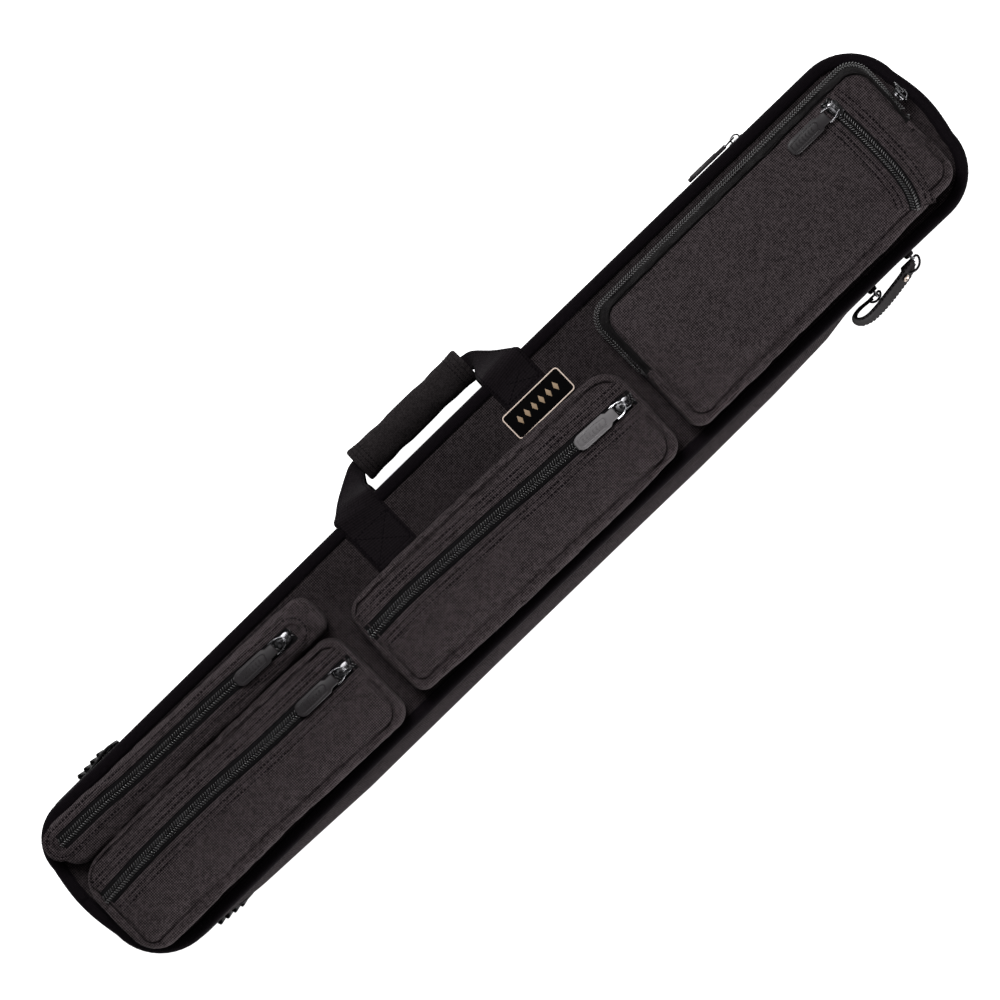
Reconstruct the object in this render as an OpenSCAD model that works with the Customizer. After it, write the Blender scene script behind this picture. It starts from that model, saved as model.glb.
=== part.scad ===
/* [Case] */
// Length over the edge bindings
case_l = 864; // [800:2:900]
// Width over the edge bindings
case_w = 152; // [150:1:154]
// Depth from the resting face to the face of the front panel
case_d = 80; // [80:1:84]
// Corner radius of the outline
corner_r = 36; // [30:1:42]
// Thickness of the front and back panels
panel_t = 5; // [4:0.5:5]
// Thickness of the side wall
gusset_t = 4; // [3:0.5:4]
// Thickness of the binding ribbon at the edge
binding_t = 2; // [1.5:0.5:2]
// Width of the binding ribbon on the front face
binding_w = 9; // [7:1:10]

/* [Lid] */
// Height along the case where the lid is hinged to the back panel
lid_y = 298; // [290:1:300]
// Gap between the case and the lid
lid_gap = 0.6; // [0.4:0.1:1]
// Height of the zip round the lid
lid_zip_h = 13; // [10:1:14]

/* [Tubes] */
// Inner radius of a butt tube
butt_r = 16.5; // [16:0.1:16.6]
// Inner radius of a shaft tube
shaft_r = 11; // [10.6:0.1:11]
// Where the tubes start, measured from the middle of the case
tube_y0 = -398; // [-400:1:-390]
// Where the tubes end
tube_y1 = 285; // [270:1:290]

/* [Pockets] */
// Thickness of the pocket fabric with its foam
wall_t = 2.5; // [2:0.5:3]
// Height of the top, middle and lower right pockets
pocket_h = 30; // [28:0.5:32]
// Height of the lower left pocket
low_pocket_h = 22; // [20:0.5:24]
// Corner radius of the pockets
pocket_r = 15; // [12:1:16]
// Corner radius of the lower right pocket
right_pocket_r = 20; // [19:1:22]
// Width of a zip with its tape in the face of a pocket
zip_w = 13; // [12:0.5:14]

/* [Zip sliders] */
// Width of a slider
slider_w = 9; // [8:0.5:10]
// Length of a slider
slider_l = 13; // [11:0.5:14]
// Radius of the wire ring's wire
wire_r = 0.8; // [0.7:0.05:0.85]
// Width of a rubber pull
pull_w = 12; // [10:0.5:13]
// Length of a rubber pull
pull_l = 37; // [34:1:41]

/* [Handle] */
// Length of the grip
grip_l = 111; // [100:1:115]
// Radius of the grip
grip_r = 12.2; // [11:0.1:12.5]
// Width of the handle's webbing
web_w = 38.5; // [37:0.5:40]

/* [Hidden] */
$fn = 96;

// Heights of the layers through the case
front_z0 = case_d - panel_t;
lid_zip_z = front_z0 - lid_zip_h;
lip_z = case_d + binding_t;
gusset_in = binding_t + gusset_t;
far = 1000;

// Pocket outlines as [left, low, right, high]
top_box = [-59, 139.5, 61.5, 415.5];
middle_box = [-25.5, -144.5, 61, 127];
right_box = [-22.5, -421.5, 61.5, -153.5];
left_box = [-63, -419, -23.4, -151];

// The top pocket: height of its base, of its side zip, and where its flap folds
base_h = 12;
side_zip_h = 6;
flap_x = 4;
flap_gap = 0.3;
side_zip_z = case_d + base_h;
flap_z = side_zip_z + side_zip_h + flap_gap;
face_z = case_d + pocket_h;
low_face_z = case_d + low_pocket_h;

// Zips in the faces, as the two ends of each zip's middle line, [x, y] at the slider and at the far end
middle_zip = [[7.5, 121], [-0.5, -134]];
right_zip = [[4.5, -161], [3, -415]];
left_zip = [[-41.5, -178], [-47, -411]];
cross_zip = [[-47, 374], [56, 364]];
cross_zip_w = 9;

// Tubes
butt_wall = 0.8;
shaft_wall = 0.6;
butt_pitch = 35;
shaft_pitch = 23.25;
butt_x = -34.9;
shaft_x = 35;
tube_z = (panel_t + front_z0) / 2;

// Slider: base plate, bail and the height of the wire through the bail
slider_gap = 0.3;
slider_base_t = 2;
bail_h = 6;
bail_w = 4;
bail_l = 6;
bail_r = 1.1;
wire_z = 4.1;
ring_w = 8.4;
ring_l = 10;
pull_t = 3;

// Handle
grip_x = -97;
grip_y = -4.5;
handle_z = 40;
upper_y = 67.5;
lower_y = -83.5;
web_t = 1.8;
leg_w = 14;

// Side loop
loop_x = 78.4;
loop_z = 40;
loop_w = 19;
strap_t = 2.5;
d_wire = 0.9;

module rounded(b, r) {
    translate([b[0] + r, b[1]])
        square([b[2] - b[0] - 2 * r, b[3] - b[1]]);
    translate([b[0], b[1] + r])
        square([b[2] - b[0], b[3] - b[1] - 2 * r]);
    for (x = [b[0] + r, b[2] - r], y = [b[1] + r, b[3] - r])
        translate([x, y])
            circle(r);
}

function inset_box(b, t) = [b[0] + t, b[1] + t, b[2] - t, b[3] - t];

module slab(z0, z1) {
    translate([0, 0, z0])
        linear_extrude(z1 - z0)
            children();
}

module outline(inset) {
    half = [case_w / 2, case_l / 2];
    rounded(inset_box([-half[0], -half[1], half[0], half[1]], inset), corner_r - inset);
}

module edge_band(outer, inner) {
    difference() {
        outline(outer);
        outline(inner);
    }
}

module box_band(b, r, outer, inner) {
    difference() {
        rounded(inset_box(b, outer), r - outer);
        rounded(inset_box(b, inner), r - inner);
    }
}

module below(y) {
    intersection() {
        children();
        translate([-far / 2, y - far])
            square(far);
    }
}

module above(y) {
    intersection() {
        children();
        translate([-far / 2, y])
            square(far);
    }
}

module left_of(x) {
    intersection() {
        children();
        translate([x - far, -far / 2])
            square(far);
    }
}

module right_of(x) {
    intersection() {
        children();
        translate([x, -far / 2])
            square(far);
    }
}

// ---- Case shell ----

module back_panel() {
    color("#222224")
        slab(0, panel_t)
            below(lid_y)
                outline(binding_t);
}

module front_panel() {
    color("#2b2b2d")
        slab(front_z0, case_d)
            outline(binding_t);
}

module side_gusset() {
    color("#202022")
        slab(panel_t, front_z0)
            below(lid_y)
                edge_band(binding_t, gusset_in);
}

module front_binding() {
    color("#151318") {
        slab(front_z0, lip_z)
            edge_band(0, binding_t);
        slab(case_d, lip_z)
            edge_band(binding_t, binding_w);
    }
}

module back_binding() {
    color("#151318")
        slab(0, binding_w)
            below(lid_y)
                edge_band(0, binding_t);
}

boot_t = 3.5;
boot_h = 44;
boot_y = -345;
rib_r = 2.6;

module base_boot() {
    rib_x = case_w / 2 + boot_t;
    color("#1b1b1d") {
        slab(0, boot_h)
            below(boot_y)
                edge_band(-boot_t, 0);
        slab(binding_w, boot_h)
            below(boot_y)
                edge_band(0, binding_t);
        for (x = [-rib_x, rib_x], i = [0:3])
            translate([x, boot_y - 5 - i * 8, 3])
                cylinder(r = rib_r, h = boot_h - 6);
    }
}

module base_pad() {
    color("#3a3a3c")
        slab(panel_t, front_z0)
            below(tube_y0)
                outline(gusset_in);
}

// ---- Tubes for the cues ----

module tube(x, z, r, wall) {
    translate([x, tube_y1, z])
        rotate([90, 0, 0])
            difference() {
                cylinder(r = r + wall, h = tube_y1 - tube_y0);
                translate([0, 0, -1])
                    cylinder(r = r, h = tube_y1 - tube_y0 + 2);
            }
}

module butt_tube(column, row) {
    color("#111113")
        tube(butt_x + column * butt_pitch / 2, tube_z + row * butt_pitch / 2, butt_r, butt_wall);
}

module butt_tube_1() {
    butt_tube(-1, -1);
}

module butt_tube_2() {
    butt_tube(1, -1);
}

module butt_tube_3() {
    butt_tube(-1, 1);
}

module butt_tube_4() {
    butt_tube(1, 1);
}

module shaft_tubes() {
    color("#111113") {
        for (column = [-1:1], row = [-1, 1])
            tube(shaft_x + column * shaft_pitch, tube_z + row * shaft_pitch, shaft_r, shaft_wall);
        for (column = [-0.5, 0.5])
            tube(shaft_x + column * shaft_pitch, tube_z, shaft_r, shaft_wall);
    }
}

// ---- Lid ----

module lid_back_panel() {
    color("#222224")
        slab(0, panel_t)
            above(lid_y + lid_gap)
                outline(binding_t);
}

module lid_gusset() {
    color("#202022")
        slab(panel_t, lid_zip_z)
            above(lid_y + lid_gap)
                edge_band(binding_t, gusset_in);
}

module lid_binding() {
    color("#151318")
        slab(0, binding_w)
            above(lid_y + lid_gap)
                edge_band(0, binding_t);
}

module lid_end_pad() {
    color("#3a3a3c")
        slab(panel_t, front_z0 - lid_gap)
            above(case_l / 2 - gusset_in - 14)
                outline(gusset_in);
}

module lid_zip_chain() {
    color("#0d0d0f")
        slab(lid_zip_z, front_z0 - lid_gap)
            above(lid_y + lid_gap)
                edge_band(binding_t, gusset_in);
}

// ---- Zip hardware, drawn with the zip's surface at z = 0 and the pull towards -Y ----

module slider_shape(turned = false) {
    w = turned ? slider_l : slider_w;
    l = turned ? slider_w : slider_l;
    color("#4a4a4e") {
        slab(slider_gap, slider_gap + slider_base_t)
            rounded([-w / 2, -l / 2, w / 2, l / 2], 3);
        difference() {
            translate([-bail_w / 2, -bail_l / 2, slider_gap + slider_base_t])
                cube([bail_w, bail_l, bail_h - slider_gap - slider_base_t]);
            translate([-bail_w, 0, wire_z])
                rotate([0, 90, 0])
                    cylinder(r = bail_r, h = 2 * bail_w);
        }
    }
}

module ring_shape(length = ring_l, closed = false) {
    color("#56565a") {
        for (y = closed ? [0, -length] : [0])
            translate([-ring_w / 2, y, wire_z])
                rotate([0, 90, 0])
                    cylinder(r = wire_r, h = ring_w);
        for (x = [-ring_w / 2, ring_w / 2]) {
            translate([x, 0, wire_z])
                rotate([90, 0, 0])
                    cylinder(r = wire_r, h = length);
            for (y = closed ? [0, -length] : [0])
                translate([x, y, wire_z])
                    sphere(wire_r);
        }
    }
}

module pull_shape() {
    color("#39393c")
        slab(wire_z - pull_t / 2, wire_z + pull_t / 2)
            rounded([-pull_w / 2, -ring_l - pull_l, pull_w / 2, -ring_l], 3.5);
}

module at_lid_zip() {
    translate([-case_w / 2 + binding_t, 310, lid_zip_z + lid_zip_h / 2])
        rotate([0, -90, 0])
            children();
}

module lid_zip_slider() {
    at_lid_zip()
        slider_shape();
}

module lid_zip_ring() {
    at_lid_zip()
        ring_shape();
}

module lid_zip_pull() {
    at_lid_zip()
        pull_shape();
}

// ---- Top pocket ----

module cross_slot(w) {
    run = cross_zip[1] - cross_zip[0];
    translate(cross_zip[0])
        rotate(atan2(run[1], run[0]))
            translate([0, -w / 2])
                square([norm(run), w]);
}

module top_pocket_base() {
    color("#2b2b2d")
        slab(case_d, side_zip_z)
            box_band(top_box, pocket_r, 0, wall_t);
}

module top_pocket_zip() {
    color("#0d0d0f")
        slab(side_zip_z, side_zip_z + side_zip_h)
            left_of(flap_x)
                box_band(top_box, pocket_r, 0, wall_t - 0.5);
}

module top_pocket_panel() {
    color("#2d2d2f") {
        slab(side_zip_z, face_z - wall_t)
            right_of(flap_x)
                box_band(top_box, pocket_r, 0, wall_t);
        slab(face_z - wall_t, face_z)
            right_of(flap_x)
                difference() {
                    rounded(top_box, pocket_r);
                    cross_slot(cross_zip_w);
                }
    }
}

module top_pocket_flap() {
    color("#2d2d2f") {
        slab(flap_z, face_z - wall_t)
            left_of(flap_x - flap_gap)
                box_band(top_box, pocket_r, 0, wall_t);
        slab(face_z - wall_t, face_z)
            left_of(flap_x - flap_gap)
                difference() {
                    rounded(top_box, pocket_r);
                    cross_slot(cross_zip_w);
                }
    }
}

module cross_zip_strip() {
    slab(face_z - wall_t + 0.5, face_z)
        children();
}

module cross_zip_panel() {
    color("#0d0d0f")
        cross_zip_strip()
            right_of(flap_x)
                cross_slot(cross_zip_w);
}

module cross_zip_flap() {
    color("#0d0d0f")
        cross_zip_strip()
            left_of(flap_x - flap_gap)
                cross_slot(cross_zip_w);
}

module at_cross_zip() {
    translate([-41, 373.4, face_z])
        children();
}

module cross_zip_slider() {
    at_cross_zip()
        slider_shape(turned = true);
}

module cross_zip_ring() {
    at_cross_zip()
        ring_shape();
}

module cross_zip_pull() {
    at_cross_zip()
        pull_shape();
}

module at_top_zip() {
    translate([-15, top_box[3], side_zip_z + side_zip_h / 2])
        multmatrix([[0, 1, 0, 0], [0, 0, 1, 0], [1, 0, 0, 0], [0, 0, 0, 1]])
            children();
}

module top_zip_slider() {
    at_top_zip()
        slider_shape();
}

module top_zip_ring() {
    at_top_zip()
        ring_shape(length = 9, closed = true);
}

// ---- Pockets with a zip in the face ----

module along_zip(zip) {
    run = zip[1] - zip[0];
    translate(zip[0])
        rotate(atan2(run[1], run[0]) + 90)
            children();
}

module zip_slot(zip) {
    along_zip(zip)
        rounded([-zip_w / 2, -norm(zip[1] - zip[0]), zip_w / 2, 0], 3);
}

module pocket_gusset(b, top, r = pocket_r) {
    color("#29292b")
        slab(case_d, top - wall_t)
            box_band(b, r, 0, wall_t);
}

module pocket_face(b, top, zip, r = pocket_r) {
    color("#2e2e30")
        slab(top - wall_t, top)
            difference() {
                rounded(b, r);
                zip_slot(zip);
            }
}

module zip_chain(top, zip) {
    color("#0d0d0f")
        slab(top - wall_t + 0.5, top)
            zip_slot(zip);
}

slider_in = 9;

module at_zip(zip, top) {
    translate([0, 0, top])
        along_zip(zip)
            translate([0, -slider_in, 0])
                children();
}

module middle_pocket_gusset() {
    pocket_gusset(middle_box, face_z);
}

module middle_pocket_face() {
    pocket_face(middle_box, face_z, middle_zip);
}

module middle_zip_chain() {
    zip_chain(face_z, middle_zip);
}

module middle_zip_slider() {
    at_zip(middle_zip, face_z)
        slider_shape();
}

module middle_zip_ring() {
    at_zip(middle_zip, face_z)
        ring_shape();
}

module middle_zip_pull() {
    at_zip(middle_zip, face_z)
        pull_shape();
}

module right_pocket_gusset() {
    pocket_gusset(right_box, face_z, right_pocket_r);
}

module right_pocket_face() {
    pocket_face(right_box, face_z, right_zip, right_pocket_r);
}

module right_zip_chain() {
    zip_chain(face_z, right_zip);
}

module right_zip_slider() {
    at_zip(right_zip, face_z)
        slider_shape();
}

module right_zip_ring() {
    at_zip(right_zip, face_z)
        ring_shape();
}

module right_zip_pull() {
    at_zip(right_zip, face_z)
        pull_shape();
}

module left_pocket_gusset() {
    pocket_gusset(left_box, low_face_z);
}

module left_pocket_face() {
    pocket_face(left_box, low_face_z, left_zip);
}

module left_zip_chain() {
    zip_chain(low_face_z, left_zip);
}

module left_zip_slider() {
    at_zip(left_zip, low_face_z)
        slider_shape();
}

module left_zip_ring() {
    at_zip(left_zip, low_face_z)
        ring_shape();
}

module left_zip_pull() {
    at_zip(left_zip, low_face_z)
        pull_shape();
}

// ---- Badge and handle ----

module badge() {
    color("#c9b98a")
        slab(case_d, case_d + 1.6)
            rounded([-48.3, 40, -25.7, 97], 4);
}

// A leg lies on the panel, crosses the binding and slopes to the end of the grip
module front_leg(y, panel_x, grip_end) {
    rise_x = -case_w / 2 + binding_w;
    edge_x = -case_w / 2 - 1.5;
    translate([0, y + web_w / 2, 0])
        rotate([90, 0, 0])
            linear_extrude(web_w)
                polygon([
                    [panel_x, case_d], [rise_x + 0.5, case_d], [rise_x, lip_z], [edge_x, lip_z],
                    [edge_x, lip_z + web_t], [rise_x, lip_z + web_t], [rise_x + 1.5, case_d + web_t],
                    [panel_x, case_d + web_t]
                ]);
    sloping_leg(y, edge_x, lip_z, grip_end, handle_z + 1);
}

module sloping_leg(y, edge_x, edge_z, grip_end, end_z) {
    hull() {
        translate([edge_x - 1, y - web_w / 2, edge_z])
            cube([1, web_w, web_t]);
        translate([grip_x - leg_w / 2, grip_end[0], end_z])
            cube([leg_w, grip_end[1] - grip_end[0], web_t]);
    }
}

leg_gap = 3.5;
leg_end = 4;
upper_end = [grip_y + grip_l / 2 + leg_gap, grip_y + grip_l / 2 + leg_gap + leg_end];
lower_end = [grip_y - grip_l / 2 - leg_gap - leg_end, grip_y - grip_l / 2 - leg_gap];

module handle_strap_front() {
    color("#131215") {
        front_leg(upper_y, -48.6, upper_end);
        front_leg(lower_y, -27, lower_end);
    }
}

module handle_strap_back() {
    color("#131215") {
        sloping_leg(upper_y, -case_w / 2, 2, upper_end, handle_z - 1 - web_t);
        sloping_leg(lower_y, -case_w / 2, 2, lower_end, handle_z - 1 - web_t);
    }
}

module along_grip() {
    translate([grip_x, grip_y + grip_l / 2, handle_z])
        rotate([90, 0, 0])
            children();
}

grip_wrap_t = 2.4;

module grip_core() {
    color("#131215")
        along_grip()
            cylinder(r = grip_r - grip_wrap_t, h = grip_l);
}

module grip_wrap() {
    color("#29292b")
        along_grip()
            difference() {
                cylinder(r = grip_r, h = grip_l);
                translate([0, 0, -1])
                    cylinder(r = grip_r - grip_wrap_t, h = grip_l + 2);
            }
}

// ---- Side loop ----

loop_in = 79.5;
loop_out = 92.5;
loop_turn_y = 288;

module side_loop_strap() {
    turn_x = (loop_in + loop_out) / 2;
    turn_r = (loop_out - loop_in) / 2;
    color("#3b3532")
        slab(loop_z - loop_w / 2, loop_z + loop_w / 2) {
            below(loop_turn_y)
                difference() {
                    translate([turn_x, loop_turn_y])
                        circle(turn_r);
                    translate([turn_x, loop_turn_y])
                        circle(turn_r - strap_t);
                }
            translate([loop_in, loop_turn_y])
                square([strap_t, 17]);
            polygon([
                [loop_out - strap_t, loop_turn_y], [loop_out, loop_turn_y], [loop_out, 312],
                [90, 332], [87.5, 343], [85.2, 342.5], [87.6, 331.5], [loop_out - strap_t, 311.5]
            ]);
        }
}

module loop_rivet() {
    color("#6d675c")
        translate([89.2, 331, loop_z])
            rotate([0, 90, 0])
                cylinder(r = 2.2, h = 2);
}

module d_ring(y, r) {
    translate([loop_x, y + r, loop_z])
        rotate([90, 0, 0])
            cylinder(r = d_wire, h = 2 * r);
    translate([loop_x, y, loop_z])
        rotate([0, 0, -90])
            rotate_extrude(angle = 180)
                translate([r, 0])
                    circle(d_wire, $fn = 32);
}

module loop_d_rings() {
    color("#1a1a1c") {
        d_ring(343, 8);
        d_ring(308.5, 6);
    }
}

anchor_ring_r = 3.5;

module loop_anchor_rings() {
    color("#8c8c90")
        for (y = [347, 309])
            translate([loop_x, y, loop_z])
                rotate([90, 0, 0])
                    rotate_extrude()
                        translate([anchor_ring_r, 0])
                            circle(d_wire, $fn = 32);
}

back_panel();
front_panel();
side_gusset();
front_binding();
back_binding();
base_boot();
base_pad();
butt_tube_1();
butt_tube_2();
butt_tube_3();
butt_tube_4();
shaft_tubes();
lid_back_panel();
lid_gusset();
lid_binding();
lid_end_pad();
lid_zip_chain();
lid_zip_slider();
lid_zip_ring();
lid_zip_pull();
top_pocket_base();
top_pocket_zip();
top_pocket_panel();
top_pocket_flap();
top_zip_slider();
top_zip_ring();
cross_zip_panel();
cross_zip_flap();
cross_zip_slider();
cross_zip_ring();
cross_zip_pull();
middle_pocket_gusset();
middle_pocket_face();
middle_zip_chain();
middle_zip_slider();
middle_zip_ring();
middle_zip_pull();
right_pocket_gusset();
right_pocket_face();
right_zip_chain();
right_zip_slider();
right_zip_ring();
right_zip_pull();
left_pocket_gusset();
left_pocket_face();
left_zip_chain();
left_zip_slider();
left_zip_ring();
left_zip_pull();
badge();
handle_strap_front();
handle_strap_back();
grip_core();
grip_wrap();
side_loop_strap();
loop_rivet();
loop_d_rings();
loop_anchor_rings();
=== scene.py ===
import math

import bmesh
import bpy
import numpy as np
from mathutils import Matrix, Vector
from mathutils.bvhtree import BVHTree


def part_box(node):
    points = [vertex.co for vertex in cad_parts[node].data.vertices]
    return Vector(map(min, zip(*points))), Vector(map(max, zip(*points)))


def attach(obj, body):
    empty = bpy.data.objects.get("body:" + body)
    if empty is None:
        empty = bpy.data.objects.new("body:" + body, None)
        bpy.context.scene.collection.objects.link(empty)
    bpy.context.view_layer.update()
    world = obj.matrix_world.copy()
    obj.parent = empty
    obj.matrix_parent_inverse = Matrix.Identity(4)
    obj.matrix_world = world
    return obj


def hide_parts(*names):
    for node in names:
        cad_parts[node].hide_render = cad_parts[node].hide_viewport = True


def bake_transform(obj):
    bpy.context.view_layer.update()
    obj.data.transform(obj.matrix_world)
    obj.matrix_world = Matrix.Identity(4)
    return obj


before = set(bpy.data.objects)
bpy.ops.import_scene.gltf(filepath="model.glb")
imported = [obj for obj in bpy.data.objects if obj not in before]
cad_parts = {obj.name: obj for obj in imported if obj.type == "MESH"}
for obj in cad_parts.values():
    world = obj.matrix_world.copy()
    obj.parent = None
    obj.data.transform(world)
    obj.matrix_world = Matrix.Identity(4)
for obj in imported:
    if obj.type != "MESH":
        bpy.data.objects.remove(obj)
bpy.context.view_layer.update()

# A long case for billiard cues: the looks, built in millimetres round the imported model.
MM = 0.001


# ---- Camera, light and floor ----

def node_box(name):
    """Lowest and highest corner of a CAD node, in millimetres."""
    low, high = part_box(name)
    return np.array(low) / MM, np.array(high) / MM


BINDING_LOW = node_box("front_binding")[0]
CASE_TOP = node_box("front_panel")[1][2]
FACE_Z = node_box("middle_pocket_face")[1][2]

PICTURE_WIDTH = 739.6  # of the case's top plane, from side to side of the picture
CAMERA_HEIGHT = 2600  # above that plane
CAMERA_TURN = 46  # degrees between the case's length and the picture's upright
camera_data = bpy.data.cameras.new("camera")
camera_data.lens = camera_data.sensor_width * CAMERA_HEIGHT / PICTURE_WIDTH
camera_data.clip_end = 20
camera = bpy.data.objects.new("camera", camera_data)
camera.location = Vector((-5.3, -1.6, CASE_TOP + CAMERA_HEIGHT)) * MM
camera.rotation_euler = (0, 0, math.radians(CAMERA_TURN))
bpy.context.scene.collection.objects.link(camera)
bpy.context.scene.camera = camera
bpy.context.scene.view_settings.view_transform = "Standard"


def area_light(name, place, size, power):
    data = bpy.data.lights.new(name, "AREA")
    data.size = size
    data.energy = power
    light = bpy.data.objects.new(name, data)
    light.location = place
    light.rotation_euler = (-Vector(place)).to_track_quat("-Z", "Y").to_euler()
    bpy.context.scene.collection.objects.link(light)


area_light("light_key", (-1.3, 0.2, 2.1), 0.9, 52)
area_light("light_fill", (2.2, 0.2, 0.28), 0.9, 62)
area_light("light_top", (-0.3, 0.2, 2.6), 0.8, 7)
world = bpy.data.worlds.new("studio")
world.use_nodes = True
world.node_tree.nodes["Background"].inputs["Color"].default_value = (1, 1, 1, 1)
world.node_tree.nodes["Background"].inputs["Strength"].default_value = 0.1
bpy.context.scene.world = world


# ---- Material nodes ----

class Nodes:
    """One material's nodes, wired up by short calls."""

    def __init__(self, name, rough, metal=0.0, shine=0.5, sheen=0.0):
        self.material = bpy.data.materials.new(name)
        self.material.use_nodes = True
        self.tree = self.material.node_tree
        self.bsdf = self.tree.nodes["Principled BSDF"]
        self.bsdf.inputs["Roughness"].default_value = rough
        self.bsdf.inputs["Metallic"].default_value = metal
        self.bsdf.inputs["Specular IOR Level"].default_value = shine
        self.bsdf.inputs["Sheen Weight"].default_value = sheen
        self.bsdf.inputs["Sheen Roughness"].default_value = 0.5

    def put(self, socket, value):
        if isinstance(value, bpy.types.NodeSocket):
            self.tree.links.new(value, socket)
        else:
            socket.default_value = value

    def add(self, kind, **inputs):
        node = self.tree.nodes.new(kind)
        for socket, value in inputs.items():
            self.put(node.inputs[socket], value)
        return node

    def math(self, operation, a, b=0.0):
        node = self.tree.nodes.new("ShaderNodeMath")
        node.operation = operation
        self.put(node.inputs[0], a)
        self.put(node.inputs[1], b)
        return node.outputs[0]

    def times(self, a, b):
        return self.math("MULTIPLY", a, b)

    def plus(self, a, b):
        return self.math("ADD", a, b)

    def mix(self, factor, a, b, kind="FLOAT"):
        node = self.tree.nodes.new("ShaderNodeMix")
        node.data_type = kind
        first = {"FLOAT": 0, "VECTOR": 1, "RGBA": 2}[kind] * 2 + 2
        self.put(node.inputs[0], factor)
        self.put(node.inputs[first], a)
        self.put(node.inputs[first + 1], b)
        return node.outputs[first // 2 - 1]

    def noise(self, vector, scale, detail=2.0, rough=0.5):
        node = self.add("ShaderNodeTexNoise", Vector=vector, Scale=scale, Detail=detail, Roughness=rough)
        return node.outputs["Fac"]

    def stretch(self, value, low, high, to_low=0.0, to_high=1.0):
        node = self.tree.nodes.new("ShaderNodeMapRange")
        for socket, number in zip(node.inputs[:5], (value, low, high, to_low, to_high)):
            self.put(socket, number)
        return node.outputs[0]

    def place(self):
        return self.tree.nodes.new("ShaderNodeTexCoord").outputs["Object"]

    def attribute(self, name):
        node = self.tree.nodes.new("ShaderNodeAttribute")
        node.attribute_name = name
        return node.outputs["Fac"]

    def vector(self, x, y, z=0.0):
        return self.add("ShaderNodeCombineXYZ", X=x, Y=y, Z=z).outputs[0]

    def split(self, vector):
        return self.add("ShaderNodeSeparateXYZ", Vector=vector).outputs

    def colour(self, value, *stops):
        """Colour ramp from (place, colour) stops."""
        node = self.add("ShaderNodeValToRGB", Fac=value)
        ramp = node.color_ramp
        while len(ramp.elements) < len(stops):
            ramp.elements.new(0.5)
        for element, (place, shade) in zip(ramp.elements, stops):
            element.position = place
            element.color = (*shade, 1)
        self.put(self.bsdf.inputs["Base Color"], node.outputs["Color"])

    def bump(self, height, strength, distance):
        node = self.add("ShaderNodeBump", Height=height, Strength=strength, Distance=distance * MM)
        self.put(self.bsdf.inputs["Normal"], node.outputs[0])

    def flat_place(self):
        """Place on the surface, taken along whichever axis it faces most, in millimetres."""
        scaled = self.tree.nodes.new("ShaderNodeVectorMath")
        scaled.operation = "SCALE"
        self.put(scaled.inputs[0], self.place())
        scaled.inputs["Scale"].default_value = 1 / MM
        x, y, z = self.split(scaled.outputs[0])
        normal = self.tree.nodes.new("ShaderNodeTexCoord").outputs["Normal"]
        nx, ny, nz = [self.math("ABSOLUTE", n) for n in self.split(normal)]
        faces_x = self.math("GREATER_THAN", nx, ny)
        faces_z = self.math("GREATER_THAN", nz, self.math("MAXIMUM", nx, ny))
        u = self.mix(faces_z, self.mix(faces_x, x, y), x)
        v = self.mix(faces_z, z, y)
        return u, v, scaled.outputs[0]


def canvas(name, dark, light, thread=1.5, depth=0.6):
    """Two-tone canvas: plain weave of melange threads, with a slight cloud over it."""
    n = Nodes(name, 0.95, shine=0.02, sheen=0.01)
    u, v, place = n.flat_place()
    crossing = n.vector(*[n.math("FLOOR", n.times(axis, 1 / thread)) for axis in (u, v)])
    speck = n.tree.nodes.new("ShaderNodeTexWhiteNoise")
    n.put(speck.inputs["Vector"], crossing)
    warp = n.math("SINE", n.times(u, math.pi / thread))
    weft = n.math("SINE", n.times(v, math.pi / thread))
    over = n.math("GREATER_THAN", n.times(warp, weft), 0.0)
    height = n.mix(over, n.math("ABSOLUTE", weft), n.math("ABSOLUTE", warp))
    along_warp = n.noise(n.vector(n.times(u, 1 / thread), n.times(v, 0.16)), 1.0, 3.0)
    along_weft = n.noise(n.vector(n.times(u, 0.16), n.times(v, 1 / thread)), 1.0, 3.0)
    tone = n.mix(over, along_weft, along_warp)
    cloud = n.noise(place, 0.045, 3.0)
    grain = n.noise(place, 2.6, 2.0)
    dots = n.times(n.math("ABSOLUTE", warp), n.math("ABSOLUTE", weft))
    value = n.plus(n.stretch(tone, 0.35, 0.65, 0, 0.25), n.stretch(dots, 0, 1, -0.35, 0.75))
    value = n.plus(value, n.stretch(speck.outputs["Value"], 0, 1, 0, 0.42))
    value = n.plus(value, n.stretch(cloud, 0.3, 0.7, -0.03, 0.03))
    value = n.plus(value, n.stretch(grain, 0.35, 0.65, -0.16, 0.2))
    n.colour(value, (0.0, dark), (0.85, light))
    n.bump(n.plus(height, n.times(tone, 0.5)), 0.7, depth * 0.55)
    return n.material


def ribbed(name, dark, light, pitch, rough=0.72, cross=0.0):
    """Woven ribbon: ribs across its length, worn paler on the crests."""
    n = Nodes(name, rough, shine=0.03, sheen=0.01)
    along = n.attribute("along")
    across = n.attribute("across")
    rib = n.math("ABSOLUTE", n.math("SINE", n.times(along, math.pi / pitch)))
    if cross:
        thread = n.math("ABSOLUTE", n.math("SINE", n.times(across, math.pi / cross)))
        rib = n.times(rib, n.stretch(thread, 0, 1, 0.55, 1.0))
    fibre = n.noise(n.vector(n.times(along, 0.25), n.times(across, 1.6)), 1.0, 3.0)
    value = n.plus(n.stretch(rib, 0, 1, 0.0, 0.5), n.stretch(fibre, 0.3, 0.7, -0.1, 0.5))
    n.colour(value, (0.05, dark), (0.95, light))
    n.bump(n.plus(rib, n.times(fibre, 0.4)), 0.6, 0.3)
    return n.material


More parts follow.
